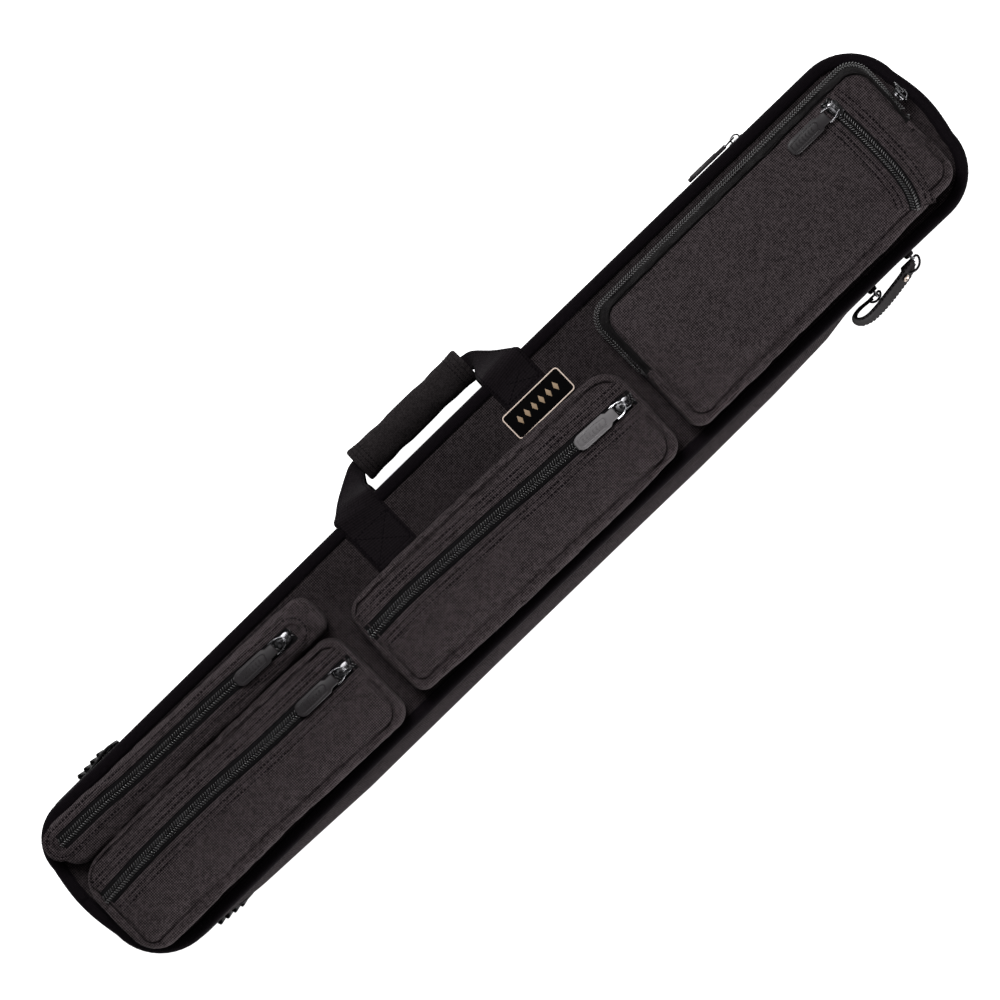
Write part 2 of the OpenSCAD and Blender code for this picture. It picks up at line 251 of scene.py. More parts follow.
def moulded(name, dark, light, rough, scale=0.9, depth=0.08, shine=0.2, sheen=0.0):
    """Moulded plastic or rubber: fine grain with a little wear in its gloss."""
    n = Nodes(name, rough, shine=shine, sheen=sheen)
    place = n.flat_place()[2]
    grain = n.noise(place, scale, 4.0, 0.6)
    wear = n.noise(place, 0.08, 3.0)
    n.colour(n.plus(n.times(grain, 0.5), n.times(wear, 0.5)), (0.3, dark), (0.7, light))
    n.put(n.bsdf.inputs["Roughness"], n.stretch(wear, 0.3, 0.7, rough - 0.08, rough + 0.1))
    n.bump(grain, 0.5, depth)
    return n.material


def metal(name, dark, light, rough):
    """Plated metal: fine brushing and small rubbed patches."""
    n = Nodes(name, rough, metal=1.0)
    place = n.flat_place()[2]
    rub = n.noise(place, 0.35, 4.0, 0.6)
    scratch = n.noise(place, 5.0, 2.0)
    n.colour(rub, (0.35, dark), (0.65, light))
    n.put(n.bsdf.inputs["Roughness"], n.stretch(rub, 0.3, 0.7, rough - 0.06, rough + 0.1))
    n.bump(scratch, 0.25, 0.02)
    return n.material


def thread_material(name, dark, light):
    """Sewing thread: a fine twist along each stitch."""
    n = Nodes(name, 0.8, shine=0.04)
    twist = n.noise(n.flat_place()[2], 3.2, 2.0)
    n.colour(twist, (0.35, dark), (0.65, light))
    n.bump(twist, 0.4, 0.1)
    return n.material


CANVAS = canvas("canvas", (0.0010, 0.0006, 0.0007), (0.066, 0.0535, 0.0570))
# Darker canvas for the body: partly its own tone, partly painted shade for the front panel sunk among the
# pockets.
CANVAS_DARK = canvas("body_canvas", (0.0008, 0.0005, 0.0006), (0.038, 0.0310, 0.0332))
CANVAS_GRIP = canvas("grip_canvas", (0.0010, 0.0008, 0.0009), (0.030, 0.0255, 0.0268), 0.9)
BINDING = ribbed("binding", (0.0012, 0.0008, 0.0013), (0.0062, 0.0044, 0.0060), 1.3)
WEBBING = ribbed("webbing", (0.0024, 0.0018, 0.0023), (0.0125, 0.0096, 0.0116), 1.9, cross=2.3)
TAPE = ribbed("zip_tape", (0.0028, 0.0026, 0.0030), (0.0105, 0.0098, 0.0105), 0.8, cross=0.8)
COIL = moulded("zip_coil", (0.010, 0.0095, 0.010), (0.022, 0.021, 0.022), 0.28, 1.5, 0.03, shine=0.7)
TAPE_PALE = ribbed("zip_tape_pale", (0.0030, 0.0026, 0.0028), (0.0120, 0.0110, 0.0114), 0.8, cross=0.8)
RUBBER = moulded("pull_rubber", (0.0150, 0.0130, 0.0142), (0.0240, 0.0210, 0.0228), 0.45, 2.2, 0.05)
# The pulls' rubber painted lighter: a painted highlight where the middle pull's tilt catches the light.
RUBBER_PAINTED_HIGHLIGHT = moulded("pull_rubber_painted_highlight", (0.100, 0.094, 0.097), (0.150, 0.142, 0.147), 0.45, 2.2, 0.05)
BOOT_RUBBER = moulded("boot_rubber", (0.0024, 0.0022, 0.0026), (0.0048, 0.0044, 0.0050),
                      0.6, 1.4, 0.12, shine=0.08)
TUBE_PLASTIC = moulded("tube_plastic", (0.010, 0.0095, 0.0105), (0.018, 0.0172, 0.0185), 0.34, 0.7, 0.05)
FOAM = moulded("foam", (0.018, 0.0175, 0.019), (0.034, 0.033, 0.0355), 0.95, 1.1, 0.5, shine=0.1, sheen=0.1)
LEATHER = moulded("loop_leather", (0.0060, 0.0050, 0.0054), (0.0150, 0.0126, 0.0134),
                  0.7, 0.75, 0.35, shine=0.06)
BADGE_FIELD = moulded("badge_field", (0.0012, 0.0010, 0.0012), (0.0024, 0.0021, 0.0024),
                      0.8, 1.6, 0.08, shine=0.03)
BADGE_MARK = moulded("badge_mark", (0.66, 0.53, 0.45), (0.84, 0.70, 0.60), 0.55, 1.6, 0.06)
BADGE_TAN = moulded("badge_tan", (0.26, 0.18, 0.11), (0.38, 0.275, 0.18), 0.55, 1.6, 0.06)
GUNMETAL = metal("gunmetal", (0.055, 0.054, 0.058), (0.16, 0.158, 0.165), 0.24)
WIRE_METAL = metal("wire_metal", (0.22, 0.22, 0.235), (0.46, 0.46, 0.48), 0.22)
BLACK_METAL = metal("black_metal", (0.012, 0.012, 0.013), (0.035, 0.034, 0.036), 0.3)
RING_METAL = metal("ring_metal", (0.36, 0.36, 0.38), (0.6, 0.6, 0.62), 0.25)
RIVET_METAL = metal("rivet_metal", (0.20, 0.155, 0.125), (0.46, 0.40, 0.36), 0.3)
STITCH = thread_material("stitch_thread", (0.0012, 0.0008, 0.0014), (0.0040, 0.0028, 0.0042))


# ---- Shapes, as (points in millimetres, faces) ----

def unit(v):
    return v / np.linalg.norm(v)


def units(rows):
    return rows / np.linalg.norm(rows, axis=1)[:, None]


def outline(corners, radii, bow=(0, 0, 0, 0), short=14, long=54, arc=8):
    """Rounded loop of four sides, anticlockwise from the middle of its lower side.

    The corners are lower left, lower right, upper right and upper left. The bow swells the lower, right,
    upper and left side.
    """
    corners = [np.array(c, float) for c in corners]
    arcs = []
    for i, corner in enumerate(corners):
        to_last = unit(corners[i - 1] - corner)
        to_next = unit(corners[(i + 1) % 4] - corner)
        half = math.acos(to_last @ to_next) / 2
        centre = corner + unit(to_last + to_next) * radii[i] / math.sin(half)
        first = corner + to_last * radii[i] / math.tan(half) - centre
        turns = math.atan2(first[1], first[0]) + (math.pi - 2 * half) * np.linspace(0, 1, arc + 1)
        arcs.append(centre + radii[i] * np.column_stack([np.cos(turns), np.sin(turns)]))
    loop = []
    for i, steps in enumerate((short, long, short, long)):
        a, b = arcs[i][-1], arcs[(i + 1) % 4][0]
        t = np.linspace(0, 1, steps + 1)[:, None]
        out = unit(np.array([b[1] - a[1], a[0] - b[0]]))
        side = a + (b - a) * t + out * bow[i] * np.sin(math.pi * t)
        loop += [side[1:-1], arcs[(i + 1) % 4]]
    return np.roll(np.vstack(loop), 1 - short // 2, axis=0)


def inset(loop, by):
    """The loop moved inward; by is one distance or one for each point."""
    ahead = np.roll(loop, -1, axis=0) - np.roll(loop, 1, axis=0)
    inward = units(np.column_stack([-ahead[:, 1], ahead[:, 0]]))
    return loop + inward * np.reshape(by, (-1, 1))


def level(loop, z):
    return np.column_stack([loop, np.broadcast_to(z, len(loop))])


def quads(rows, n, closed, cyclic=False):
    """Faces between rows of n points; closed joins each row's ends, cyclic the last row to the first."""
    return [
        (k * n + i, k * n + (i + 1) % n, (k + 1) % rows * n + (i + 1) % n, (k + 1) % rows * n + i)
        for k in range(rows if cyclic else rows - 1)
        for i in range(n if closed else n - 1)
    ]


def fill_grid(loop, across, first, start):
    """Fills a loop, numbered from first, with a grid that many cells across; new points count from start."""
    n = len(loop)
    up = n // 2 - across
    right = across // 2
    lower = (n - right + np.arange(across + 1)) % n
    upper = right + up + across - np.arange(across + 1)
    left = (n - right - np.arange(up + 1)) % n
    side = right + np.arange(up + 1)
    u = np.linspace(0, 1, across + 1)[None, :, None]
    v = np.linspace(0, 1, up + 1)[:, None, None]
    b, t, l, r = loop[lower][None], loop[upper][None], loop[left][:, None], loop[side][:, None]
    flat = (1 - u) * (1 - v) * b[:, :1] + u * (1 - v) * b[:, -1:] + (1 - u) * v * t[:, :1] + u * v * t[:, -1:]
    grid = (1 - v) * b + v * t + (1 - u) * l + u * r - flat
    number = np.empty((up + 1, across + 1), int)
    number[0], number[-1], number[:, 0], number[:, -1] = lower, upper, left, side
    number += first
    number[1:-1, 1:-1] = start + np.arange((up - 1) * (across - 1)).reshape(up - 1, across - 1)
    faces = [
        (number[r, c], number[r, c + 1], number[r + 1, c + 1], number[r + 1, c])
        for r in range(up)
        for c in range(across)
    ]
    return grid[1:-1, 1:-1].reshape(-1, 3), faces


def bag(rings, across):
    """A closed bag: rings from its foot up and in over its face, then grids that fill face and foot."""
    n = len(rings[0])
    last = (len(rings) - 1) * n
    points = np.vstack(rings)
    face, face_cells = fill_grid(rings[-1], across, last, len(points))
    foot, foot_cells = fill_grid(rings[0], across, 0, len(points) + len(face))
    foot_cells = [cell[::-1] for cell in foot_cells]
    return np.vstack([points, face, foot]), quads(len(rings), n, True) + face_cells + foot_cells


def raised(loop, section):
    """The loop at each (inset, height) pair of a section."""
    return [level(inset(loop, d), z) for d, z in section]


def band(loop, section):
    """A closed section of (inset, height) pairs swept round a loop."""
    return swept(raised(loop, section), True)


def swept(rows, closed):
    """Rows of points joined round a section, with flat ends unless the rows are closed."""
    m, n = len(rows), len(rows[0])
    faces = quads(m, n, closed, cyclic=True)
    if not closed:
        faces += [tuple(k * n for k in range(m)), tuple(k * n + n - 1 for k in reversed(range(m)))]
    return np.vstack(rows), faces


def run_lengths(points):
    steps = np.linalg.norm(np.diff(points, axis=0), axis=1)
    return np.concatenate([[0], np.cumsum(steps)])


def smooth_line(points, step=2.0):
    """A smooth line through the points, at about that step."""
    p = np.array(points, float)
    p = np.vstack([2 * p[0] - p[1], p, 2 * p[-1] - p[-2]])
    dense = []
    for k in range(1, len(p) - 2):
        t = np.linspace(0, 1, 16, endpoint=False)[:, None]
        a, b, c, d = p[k - 1], p[k], p[k + 1], p[k + 2]
        square, cube = 2 * a - 5 * b + 4 * c - d, 3 * b - a - 3 * c + d
        dense.append(0.5 * (2 * b + (c - a) * t + square * t**2 + cube * t**3))
    dense = np.vstack([*dense, p[-2]])
    return resample(dense, step)[0]


def resample(points, step, *others):
    """Points at an even step along a line, and other rows read off at the same places."""
    s = run_lengths(points)
    t = np.linspace(0, s[-1], max(2, round(s[-1] / step) + 1))
    read = [np.asarray(rows, float).T for rows in (points, *others)]
    return [np.column_stack([np.interp(t, s, column) for column in columns]) for columns in read]


def recount(line, count):
    """The line read off at that many places, evenly by its own numbering."""
    to, at = np.linspace(0, 1, count), np.linspace(0, 1, len(line))
    return np.column_stack([np.interp(to, at, column) for column in line.T])


def matched(edge_a, edge_b, step):
    """Smooth lines through the points of two edges, both with the same number of points."""
    lines = [smooth_line(edge, step) for edge in (edge_a, edge_b)]
    return [recount(line, max(map(len, lines))) for line in lines]


def ribbon(edge_a, edge_b, thick, across=8, step=3.0):
    """A strap between two edges, its long sides rounded; also how far along and across each point is."""
    a, b = matched(edge_a, edge_b, step)
    middle = (a + b) / 2
    normal = units(np.cross(np.gradient(middle, axis=0), b - a))
    rows = []
    for side in (1, -1):
        for k in range(across + 1)[::side]:
            t = k / across
            edge = 0.45 if k in (0, across) else 1.0
            rows.append(a + (b - a) * t + normal * side * edge * thick / 2)
    points, faces = swept(rows, False)
    width = np.linalg.norm(b - a, axis=1)
    along = np.tile(run_lengths(middle), len(rows))
    spread = np.concatenate([width * k / across for k in [*range(across + 1), *range(across, -1, -1)]])
    return (points, faces), along, spread


def wire(points, radius, sides=10, closed=False):
    """A round wire along a line of points; radius is one number or one for each point."""
    p = np.array(points, float)
    n = len(p)
    ahead = (np.roll(p, -1, axis=0) - np.roll(p, 1, axis=0)) if closed else np.gradient(p, axis=0)
    ahead = units(ahead)
    radius = np.broadcast_to(radius, n)
    up = np.array([0.0, 0.0, 1.0]) if abs(ahead[0][2]) < 0.8 else np.array([1.0, 0.0, 0.0])
    rings = []
    for k in range(n):
        up = unit(up - ahead[k] * (up @ ahead[k]))
        side = np.cross(ahead[k], up)
        turn = np.linspace(0, 2 * math.pi, sides, endpoint=False)[:, None]
        rings.append(p[k] + radius[k] * (np.cos(turn) * side + np.sin(turn) * up))
    faces = quads(n, sides, True, cyclic=closed)
    if not closed:
        faces += [tuple(range(sides))[::-1], tuple((n - 1) * sides + i for i in range(sides))]
    return np.vstack(rings), faces


def slab(loop, z0, z1, edge=0.4):
    """A plate of that outline with softened edges."""
    steps = [(edge, z0), (edge * 0.3, z0 + edge * 0.3), (0, z0 + edge)]
    steps += [(0, z1 - edge), (edge * 0.3, z1 - edge * 0.3), (edge, z1)]
    rows = raised(loop, steps)
    n = len(loop)
    faces = quads(len(rows), n, True)
    faces += [tuple(range(n))[::-1], tuple((len(rows) - 1) * n + i for i in range(n))]
    return np.vstack(rows), faces


def joined(*shapes):
    points, faces, count = [], [], 0
    for p, f in shapes:
        points.append(np.asarray(p, float))
        faces += [tuple(i + count for i in face) for face in f]
        count += len(p)
    return np.vstack(points), faces


def capsule(sides=6):
    """A rod of length and radius one, along X, with round ends."""
    ends = [(-0.42, 0.7), (-0.28, 1.0), (0.28, 1.0), (0.42, 0.7)]
    turn = np.linspace(0, 2 * math.pi, sides, endpoint=False)
    rings = [np.column_stack([np.full(sides, x), r * np.cos(turn), r * np.sin(turn)]) for x, r in ends]
    points = np.vstack([*rings, [[-0.5, 0, 0], [0.5, 0, 0]]])
    last = 3 * sides
    faces = quads(4, sides, True)
    faces += [(4 * sides, (i + 1) % sides, i) for i in range(sides)]
    faces += [(4 * sides + 1, last + i, last + (i + 1) % sides) for i in range(sides)]
    return points, faces


ROD = capsule()


def rods(places, length_axes, wide_axes, high_axes):
    """Many copies of the rod, each with its own place and three axes."""
    points, faces = ROD
    made = (
        places[:, None]
        + points[None, :, :1] * length_axes[:, None]
        + points[None, :, 1:2] * wide_axes[:, None]
        + points[None, :, 2:3] * high_axes[:, None]
    )
    count = len(points)
    copies = [tuple(i + k * count for i in face) for k in range(len(places)) for face in faces]
    return made.reshape(-1, 3), copies


def sides_of(line, up):
    ahead = units(np.gradient(line, axis=0))
    return units(np.cross(up, ahead)), ahead


def stitches(line, up, pitch=3.3, length=2.4, thick=0.5):
    """A row of stitches lying on a line; up is the surface's direction, one row or one for each point."""
    line, up = resample(line, pitch, np.broadcast_to(up, line.shape))
    side, ahead = sides_of(line, up)
    return rods(line[:-1] / 2 + line[1:] / 2, ahead[:-1] * length, side[:-1] * thick, up[:-1] * thick * 0.8)


def coil(line, side, up, half=3.5, pitch=2.1):
    """Two rows of slanting coil loops along a line, staggered by half a pitch."""
    rows = []
    for sign in (-1, 1):
        p, s, u = resample(line, pitch, side, up)
        ahead = units(np.gradient(p, axis=0))
        if sign > 0:
            p = p + ahead * pitch / 2
        slant = s * half * sign - ahead * 1.5
        rows.append(rods(p + s * sign * half * 0.52, slant, ahead * 0.72, u * 0.8))
    return joined(*rows)


# ---- Pieces ----

def add_values(mesh, label, values):
    """Gives each point of the mesh a number, which its material reads by that label."""
    layer = mesh.attributes.new(label, "FLOAT", "POINT")
    layer.data.foreach_set("value", np.asarray(values, np.float32))


def piece(name, shape, material, slot, body=None, nodes=(), along=None, across=None):
    """A mesh object of a shape, in its material, riding on a body and standing for CAD nodes; the slot is not
    used.
    """
    points, faces = shape
    mesh = bpy.data.meshes.new(name)
    mesh.from_pydata((np.asarray(points, float) * MM).tolist(), [], [list(map(int, f)) for f in faces])
    mesh.update()
    made = bmesh.new()
    made.from_mesh(mesh)
    bmesh.ops.recalc_face_normals(made, faces=made.faces)
    made.to_mesh(mesh)
    made.free()
    mesh.materials.append(material)
    mesh.polygons.foreach_set("use_smooth", [True] * len(mesh.polygons))
    for label, values in (("along", along), ("across", across)):
        if values is not None:
            add_values(mesh, label, values)
    obj = bpy.data.objects.new(name, mesh)
    bpy.context.scene.collection.objects.link(obj)
    if nodes:
        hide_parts(*nodes)
    if body:
        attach(obj, body)
    return obj


def refine(obj, *modifiers):
    """Applies modifiers, each a kind and its settings, to an object that nothing holds yet."""
    for kind, settings in modifiers:
        modifier = obj.modifiers.new(kind, kind)
        for setting, value in settings.items():
            setattr(modifier, setting, value)
    made = bpy.data.meshes.new_from_object(obj.evaluated_get(bpy.context.evaluated_depsgraph_get()))
    obj.modifiers.clear()
    obj.data = made
    made.polygons.foreach_set("use_smooth", [True] * len(made.polygons))
    return obj


SUBDIVIDE = ("SUBSURF", {"levels": 1})


class Ground:
    """Looks up how high finished pieces stand at a place in plan."""

    def __init__(self, *objs):
        points, faces = [], []
        for o in objs:
            faces += [[i + len(points) for i in p.vertices] for p in o.data.polygons]
            points += [v.co.copy() for v in o.data.vertices]
        self.tree = BVHTree.FromPolygons(points, faces)

    def z(self, x, y, otherwise):
        hit = self.tree.ray_cast(Vector((x * MM, y * MM, 0.3)), Vector((0, 0, -1)))[0]
        return otherwise if hit is None else hit.z / MM

    def lay(self, line, otherwise, lift=0.0):
        return np.array([[p[0], p[1], self.z(p[0], p[1], otherwise) + lift] for p in line])


def flat_strip(line, section, ground, otherwise, fade=0.0):
    """A closed section of (sideways, lift) pairs laid along a line in plan, on the ground below it."""
    line3 = np.column_stack([line, np.zeros(len(line))])
    side, _ = sides_of(line3, np.array([0, 0, 1.0]))
    s = run_lengths(line)
    ease = np.clip(np.minimum(s, s[-1] - s) / fade, 0.1, 1) if fade else np.ones(len(s))
    rows = []
    for sideways, lift in section:
        row = ground.lay(line3 + side * sideways, otherwise)
        row[:, 2] += lift * ease if lift > 0 else lift
        rows.append(row)
    lengths = np.tile(s, len(section))
    spread = np.concatenate([np.full(len(s), sideways) for sideways, _ in section])
    return swept(rows, False), lengths, spread


# ---- Soft bags, blown up together as cloth ----

CLOTH_CAP = 2.4  # the furthest that the cloth pass may move a point
soft = []


def soft_bag(name, rings, across, held_rings, held=None, **looks):
    """Queues a bag for the cloth pass; held is a test of a point for what else doesn't move."""
    points, faces = bag(rings, across)
    n = len(rings[0])
    pin = np.zeros(len(points))
    for k in held_rings:
        pin[k * n:(k + 1) * n] = 1
    foot = (len(points) - len(rings) * n) // 2
    pin[-foot:] = 1
    if held is not None:
        inner = np.arange((len(rings) - 1) * n, len(points) - foot)
        pin[inner] = np.maximum(pin[inner], [held(points[i]) for i in inner])
    soft.append({"name": name, "points": points, "faces": faces, "pin": pin, "looks": looks})


def inflate(bags):
    """One cloth pass over all the bags: pressure, no gravity, twenty frames, each point's move capped."""
    for b in bags:
        corners = b["points"][[f[:3] for f in b["faces"]]] - b["points"].mean(axis=0)
        first, second, third = corners.swapaxes(0, 1)
        if np.sum(first * np.cross(second, third)) < 0:
            b["faces"] = [f[::-1] for f in b["faces"]]
    points, faces = joined(*[(b["points"], b["faces"]) for b in bags])
    mesh = bpy.data.meshes.new("cloth_pass")
    mesh.from_pydata((points * MM).tolist(), [], [list(map(int, f)) for f in faces])
    obj = bpy.data.objects.new("cloth_pass", mesh)
    bpy.context.scene.collection.objects.link(obj)
    group = obj.vertex_groups.new(name="held")
    for i, weight in enumerate(np.concatenate([b["pin"] for b in bags])):
        if weight > 0:
            group.add([i], float(weight), "REPLACE")
    cloth = obj.modifiers.new("Cloth", "CLOTH")
    cloth.settings.quality = 6
    cloth.settings.mass = 0.25
    cloth.settings.tension_stiffness = 25
    cloth.settings.compression_stiffness = 25
    cloth.settings.shear_stiffness = 10
    cloth.settings.bending_stiffness = 0.4
    cloth.settings.use_pressure = True
    cloth.settings.uniform_pressure_force = 4
    cloth.settings.shrink_min = -0.012
    cloth.settings.vertex_group_mass = "held"
    cloth.settings.effector_weights.gravity = 0
    cloth.collision_settings.use_self_collision = False
    cloth.collision_settings.use_collision = False
    scene = bpy.context.scene
    for number in range(1, 21):
        scene.frame_set(number)
    shown = obj.evaluated_get(bpy.context.evaluated_depsgraph_get()).data
    after = np.empty(len(points) * 3)
    shown.vertices.foreach_get("co", after)
    moved = after.reshape(-1, 3) / MM - points
    length = np.linalg.norm(moved, axis=1)
    cap = np.concatenate([np.full(len(b["points"]), b.get("cap", CLOTH_CAP)) for b in bags])
    moved *= (np.minimum(length, cap) / np.maximum(length, 1e-6))[:, None]
    start = 0
    for b in bags:
        count = len(b["points"])
        b["points"] = b["points"] + moved[start:start + count]
        start += count
    bpy.data.objects.remove(obj)
    bpy.data.meshes.remove(mesh)
    scene.frame_set(1)


def from_box(node, *offsets):
    """Four corners, each an offset from that corner of a CAD node's box in plan."""
    (x0, y0, _), (x1, y1, _) = node_box(node)
    return [(x + dx, y + dy) for (x, y), (dx, dy) in zip([(x0, y0), (x1, y0), (x1, y1), (x0, y1)], offsets)]


def from_corner(node, *places):
    """Places in plan measured from the lower left corner of a CAD node's box."""
    low = node_box(node)[0]
    return [(low[0] + x, low[1] + y) for x, y in places]


def near_line(line, full, none):
    """A test that is 1 within full of a line in plan and 0 beyond none."""
    line = np.array(line)[:, :2]

    def test(point):
        away = np.linalg.norm(line - point[:2], axis=1).min()
        return float(np.clip((none - away) / (none - full), 0, 1))

    return test


def mixed(a, b, share):
    return a * (1 - share) + b * share


def box_pocket_rings(outer, seam, foot, top):
    """Rings of a boxed pocket: wall, rolled rim, sewn groove and face, and which of them are held."""
    wall = [(-0.4, foot - 1.0), (-0.2, foot + 1.0), (-0.6, foot + 6), (-0.9, foot + 12), (-0.9, foot + 18)]
    shoulder = [(-0.4, top - 5.0), (0.7, top - 2.0), (2.2, top - 0.5)]
    groove = [(-1.5, top - 0.4), (-0.75, top - 1.0), (-0.35, top - 3.0), (0.35, top - 3.0), (0.8, top - 1.0)]
    face = [(1.7, top - 0.35), (4.0, top)]
    rim = level(mixed(outer, seam, 0.62), top - 0.1)
    return raised(outer, wall + shoulder) + [rim] + raised(seam, groove + face), [0, 1, 11, 12]


# Outline of the case at the edge of its binding, with the right side swelling slightly
CASE_CORNERS = from_box("front_binding", (5.5, 3.8), (-2.6, 3.8), (-3.2, -4.7), (0.8, -4.7))
CASE = dict(short=22, long=164, arc=12)
case_outline = outline(CASE_CORNERS, (33, 44, 41, 44), (4, -2.5, 4.4, 1.2), **CASE)
case_count = len(case_outline)
lid_y = node_box("back_panel")[1][1]
lid_gap = node_box("lid_back_panel")[0][1] - lid_y
right_end = CASE["short"] // 2 + CASE["arc"] + CASE["long"]
split = min(range(right_end), key=lambda i: abs(case_outline[i][1] - lid_y))
UPPER = np.arange(split, case_count - split + 1)
LOWER = np.concatenate([np.arange(case_count - split, case_count), np.arange(0, split + 1)])


def cut(rows, keep, edge_y):
    """The rows' points numbered in keep, their first and last brought onto the cut."""
    kept = [row[keep].copy() for row in rows]
    for row in kept:
        row[[0, -1], 1] = edge_y
    return kept


def wall_rows(levels):
    """Loops of the side wall at (inset, height, swell) levels; the swell is on the long sides."""
    rows = []
    for d, z, swell in levels:
        loop = inset(case_outline, d)
        y = loop[:, 1]
        along_right = np.interp(y, [-400, -370, -330, -220, 120, 200, 258, 282, 345, 385],
                                [0, 0.25, 0.6, 0.97, 1, 0.88, 0.64, 0.3, 0.2, 0])
        along_left = np.clip((300 - y) / 200, 0, 1) * np.clip((y + 380) / 120, 0, 1)
        loop = loop.copy()
        loop[:, 0] += np.where(loop[:, 0] > 0, 11.6 * swell * along_right, -0.6 * swell * along_left)
        rows.append(level(loop, z))
    return rows


WALL_UP = [(2.2, 2.5, 0), (1.6, 8, 0.35), (1.0, 18, 0.75), (0.7, 30, 0.97), (0.6, 42, 1.0), (0.8, 54, 0.85)]
WALL_DOWN = [(5.0, 40, 0.8), (5.5, 18, 0.6), (6, 2.5, 0)]
CASE_WALL = [*WALL_UP, (1.3, 66, 0.45), (2.2, 76.5, 0.05), (5.5, 76.5, 0), (5.5, 60, 0.3), *WALL_DOWN]
LID_WALL = [*WALL_UP, (1.2, 61.5, 0.6), (5.2, 61.5, 0.6), *WALL_DOWN]
CASE_SIDE = (LOWER, lid_y, "case")
LID_SIDE = (UPPER, lid_y + lid_gap, "lid")


def measures(rows):
    """How far along the rows, and across from row to row, each of their points is."""
    along = np.tile(run_lengths(rows[0]), len(rows))
    across = np.repeat(run_lengths(np.array([row[0] for row in rows])), len(rows[0]))
    return dict(along=along, across=across)


def cut_piece(name, rows, side, material, slot, node):
    """A wall or ribbon round the outline, on one side of the cut between case and lid."""
    keep, edge_y, body = side
    rows = cut(rows, keep, edge_y)
    return piece(name, swept(rows, False), material, slot, body, [node], **measures(rows))


cut_piece("side_wall", wall_rows(CASE_WALL), CASE_SIDE, CANVAS_DARK, "body_fabric", "side_gusset")
cut_piece("lid_wall", wall_rows(LID_WALL), LID_SIDE, CANVAS_DARK, "body_fabric", "lid_gusset")

BACK_BINDING = [
    (0.5, 9), (-0.3, 6.5), (-0.8, 3.6), (-0.6, 1.4), (0.5, 0.3), (2.5, 0.05), (7.5, 0.05), (8.0, 0.35),
    (7.4, 0.9), (2.6, 1.6), (1.8, 3.6), (1.8, 9),
]
back_rows = raised(case_outline, BACK_BINDING)
cut_piece("back_binding_ribbon", back_rows, CASE_SIDE, BINDING, "binding", "back_binding")
cut_piece("lid_binding_ribbon", back_rows, LID_SIDE, BINDING, "binding", "lid_binding")

FRONT_BINDING = [
    (1.4, 73.2), (0.2, 73.4), (-0.5, 75.2), (-0.9, 78), (-0.7, 80.6), (0.3, 82.2), (1.9, 82.9), (4.2, 82.9),
    (6.6, 82.5), (8.4, 81.9), (9.0, 81.2), (8.6, 80.3), (3.2, 80.1), (1.8, 78.2),
]
front_rows = raised(case_outline, FRONT_BINDING)
piece("front_binding_ribbon", swept(front_rows, True), BINDING, "binding", "case", ["front_binding"],
      **measures(front_rows))


def panel(name, side, node):
    """A flat back panel under the binding, cut across at the hinge."""
    keep, edge_y, body = side
    loop = inset(case_outline, 2.6)[keep]
    loop[[0, -1], 1] = edge_y
    n = len(loop)
    faces = quads(2, n, True)
    for first, flip in ((0, -1), (n, 1)):
        for i in range((n - 1) // 2):
            j = n - 1 - i
            face = tuple(first + k for k in dict.fromkeys((i, i + 1, j - 1, j)))
            faces.append(face[::flip])
    shape = np.vstack([level(loop, 0.4), level(loop, 5.0)]), faces
    return piece(name, shape, CANVAS_DARK, "body_fabric", body, [node])


panel("back_canvas", CASE_SIDE, "back_panel")
panel("lid_back_canvas", LID_SIDE, "lid_back_panel")

# Front panel: foam between canvas, held at its edge and wherever something is sewn to it
SEWN = ["badge", "middle_pocket_gusset", "right_pocket_gusset", "left_pocket_gusset", "top_pocket_base"]
sewn_boxes = [np.concatenate([node_box(n)[0][:2] - 5, node_box(n)[1][:2] + 5]) for n in SEWN]
STRAP_LOW, STRAP_HIGH = node_box("handle_strap_front")
STRAP_WIDTH = 38.5
sewn_boxes.append(np.array([-80, STRAP_HIGH[1] - STRAP_WIDTH - 3, -20, STRAP_HIGH[1] + 3]))
sewn_boxes.append(np.array([-80, STRAP_LOW[1] - 3, -20, STRAP_LOW[1] + STRAP_WIDTH + 3]))


def held_on_panel(point):
    """1 for a point near something sewn to the panel, otherwise 0."""
    return max(float(b[0] < point[0] < b[2] and b[1] < point[1] < b[3]) for b in sewn_boxes)


panel_rims = [(3.4, 75.2), (2.8, 76.0), (2.8, 78.6), (4.0, 79.8), (8.5, CASE_TOP), (12, CASE_TOP + 0.2)]
soft_bag(
    "front_canvas", raised(case_outline, panel_rims), CASE["short"] + CASE["arc"], [0, 1, 2, 3, 4],
    held_on_panel, material=CANVAS_DARK, slot="body_fabric", body="case", nodes=["front_panel"], fill=0.3,
)


def boxed_pocket(side, outer, outer_looks, seam, seam_looks, zip_places):
    """A boxed pocket with a sewn rim, and the line of its zip; looks are a loop's corner radii and bows."""
    node = side + "_pocket_gusset"
    line = smooth_line(from_corner(node, *zip_places), 2.4)
    outer_loop = outline(from_box(node, *outer), *outer_looks)
    seam_loop = outline(from_box(node, *seam), *seam_looks)
    rings, held = box_pocket_rings(outer_loop, seam_loop, CASE_TOP, FACE_Z - 1.0)
    soft_bag(side + "_pocket", rings, 22, held, near_line(line, 8, 13), material=CANVAS, slot="canvas",
             body="case", nodes=[node, side + "_pocket_face"], fill=0.4)
    return line


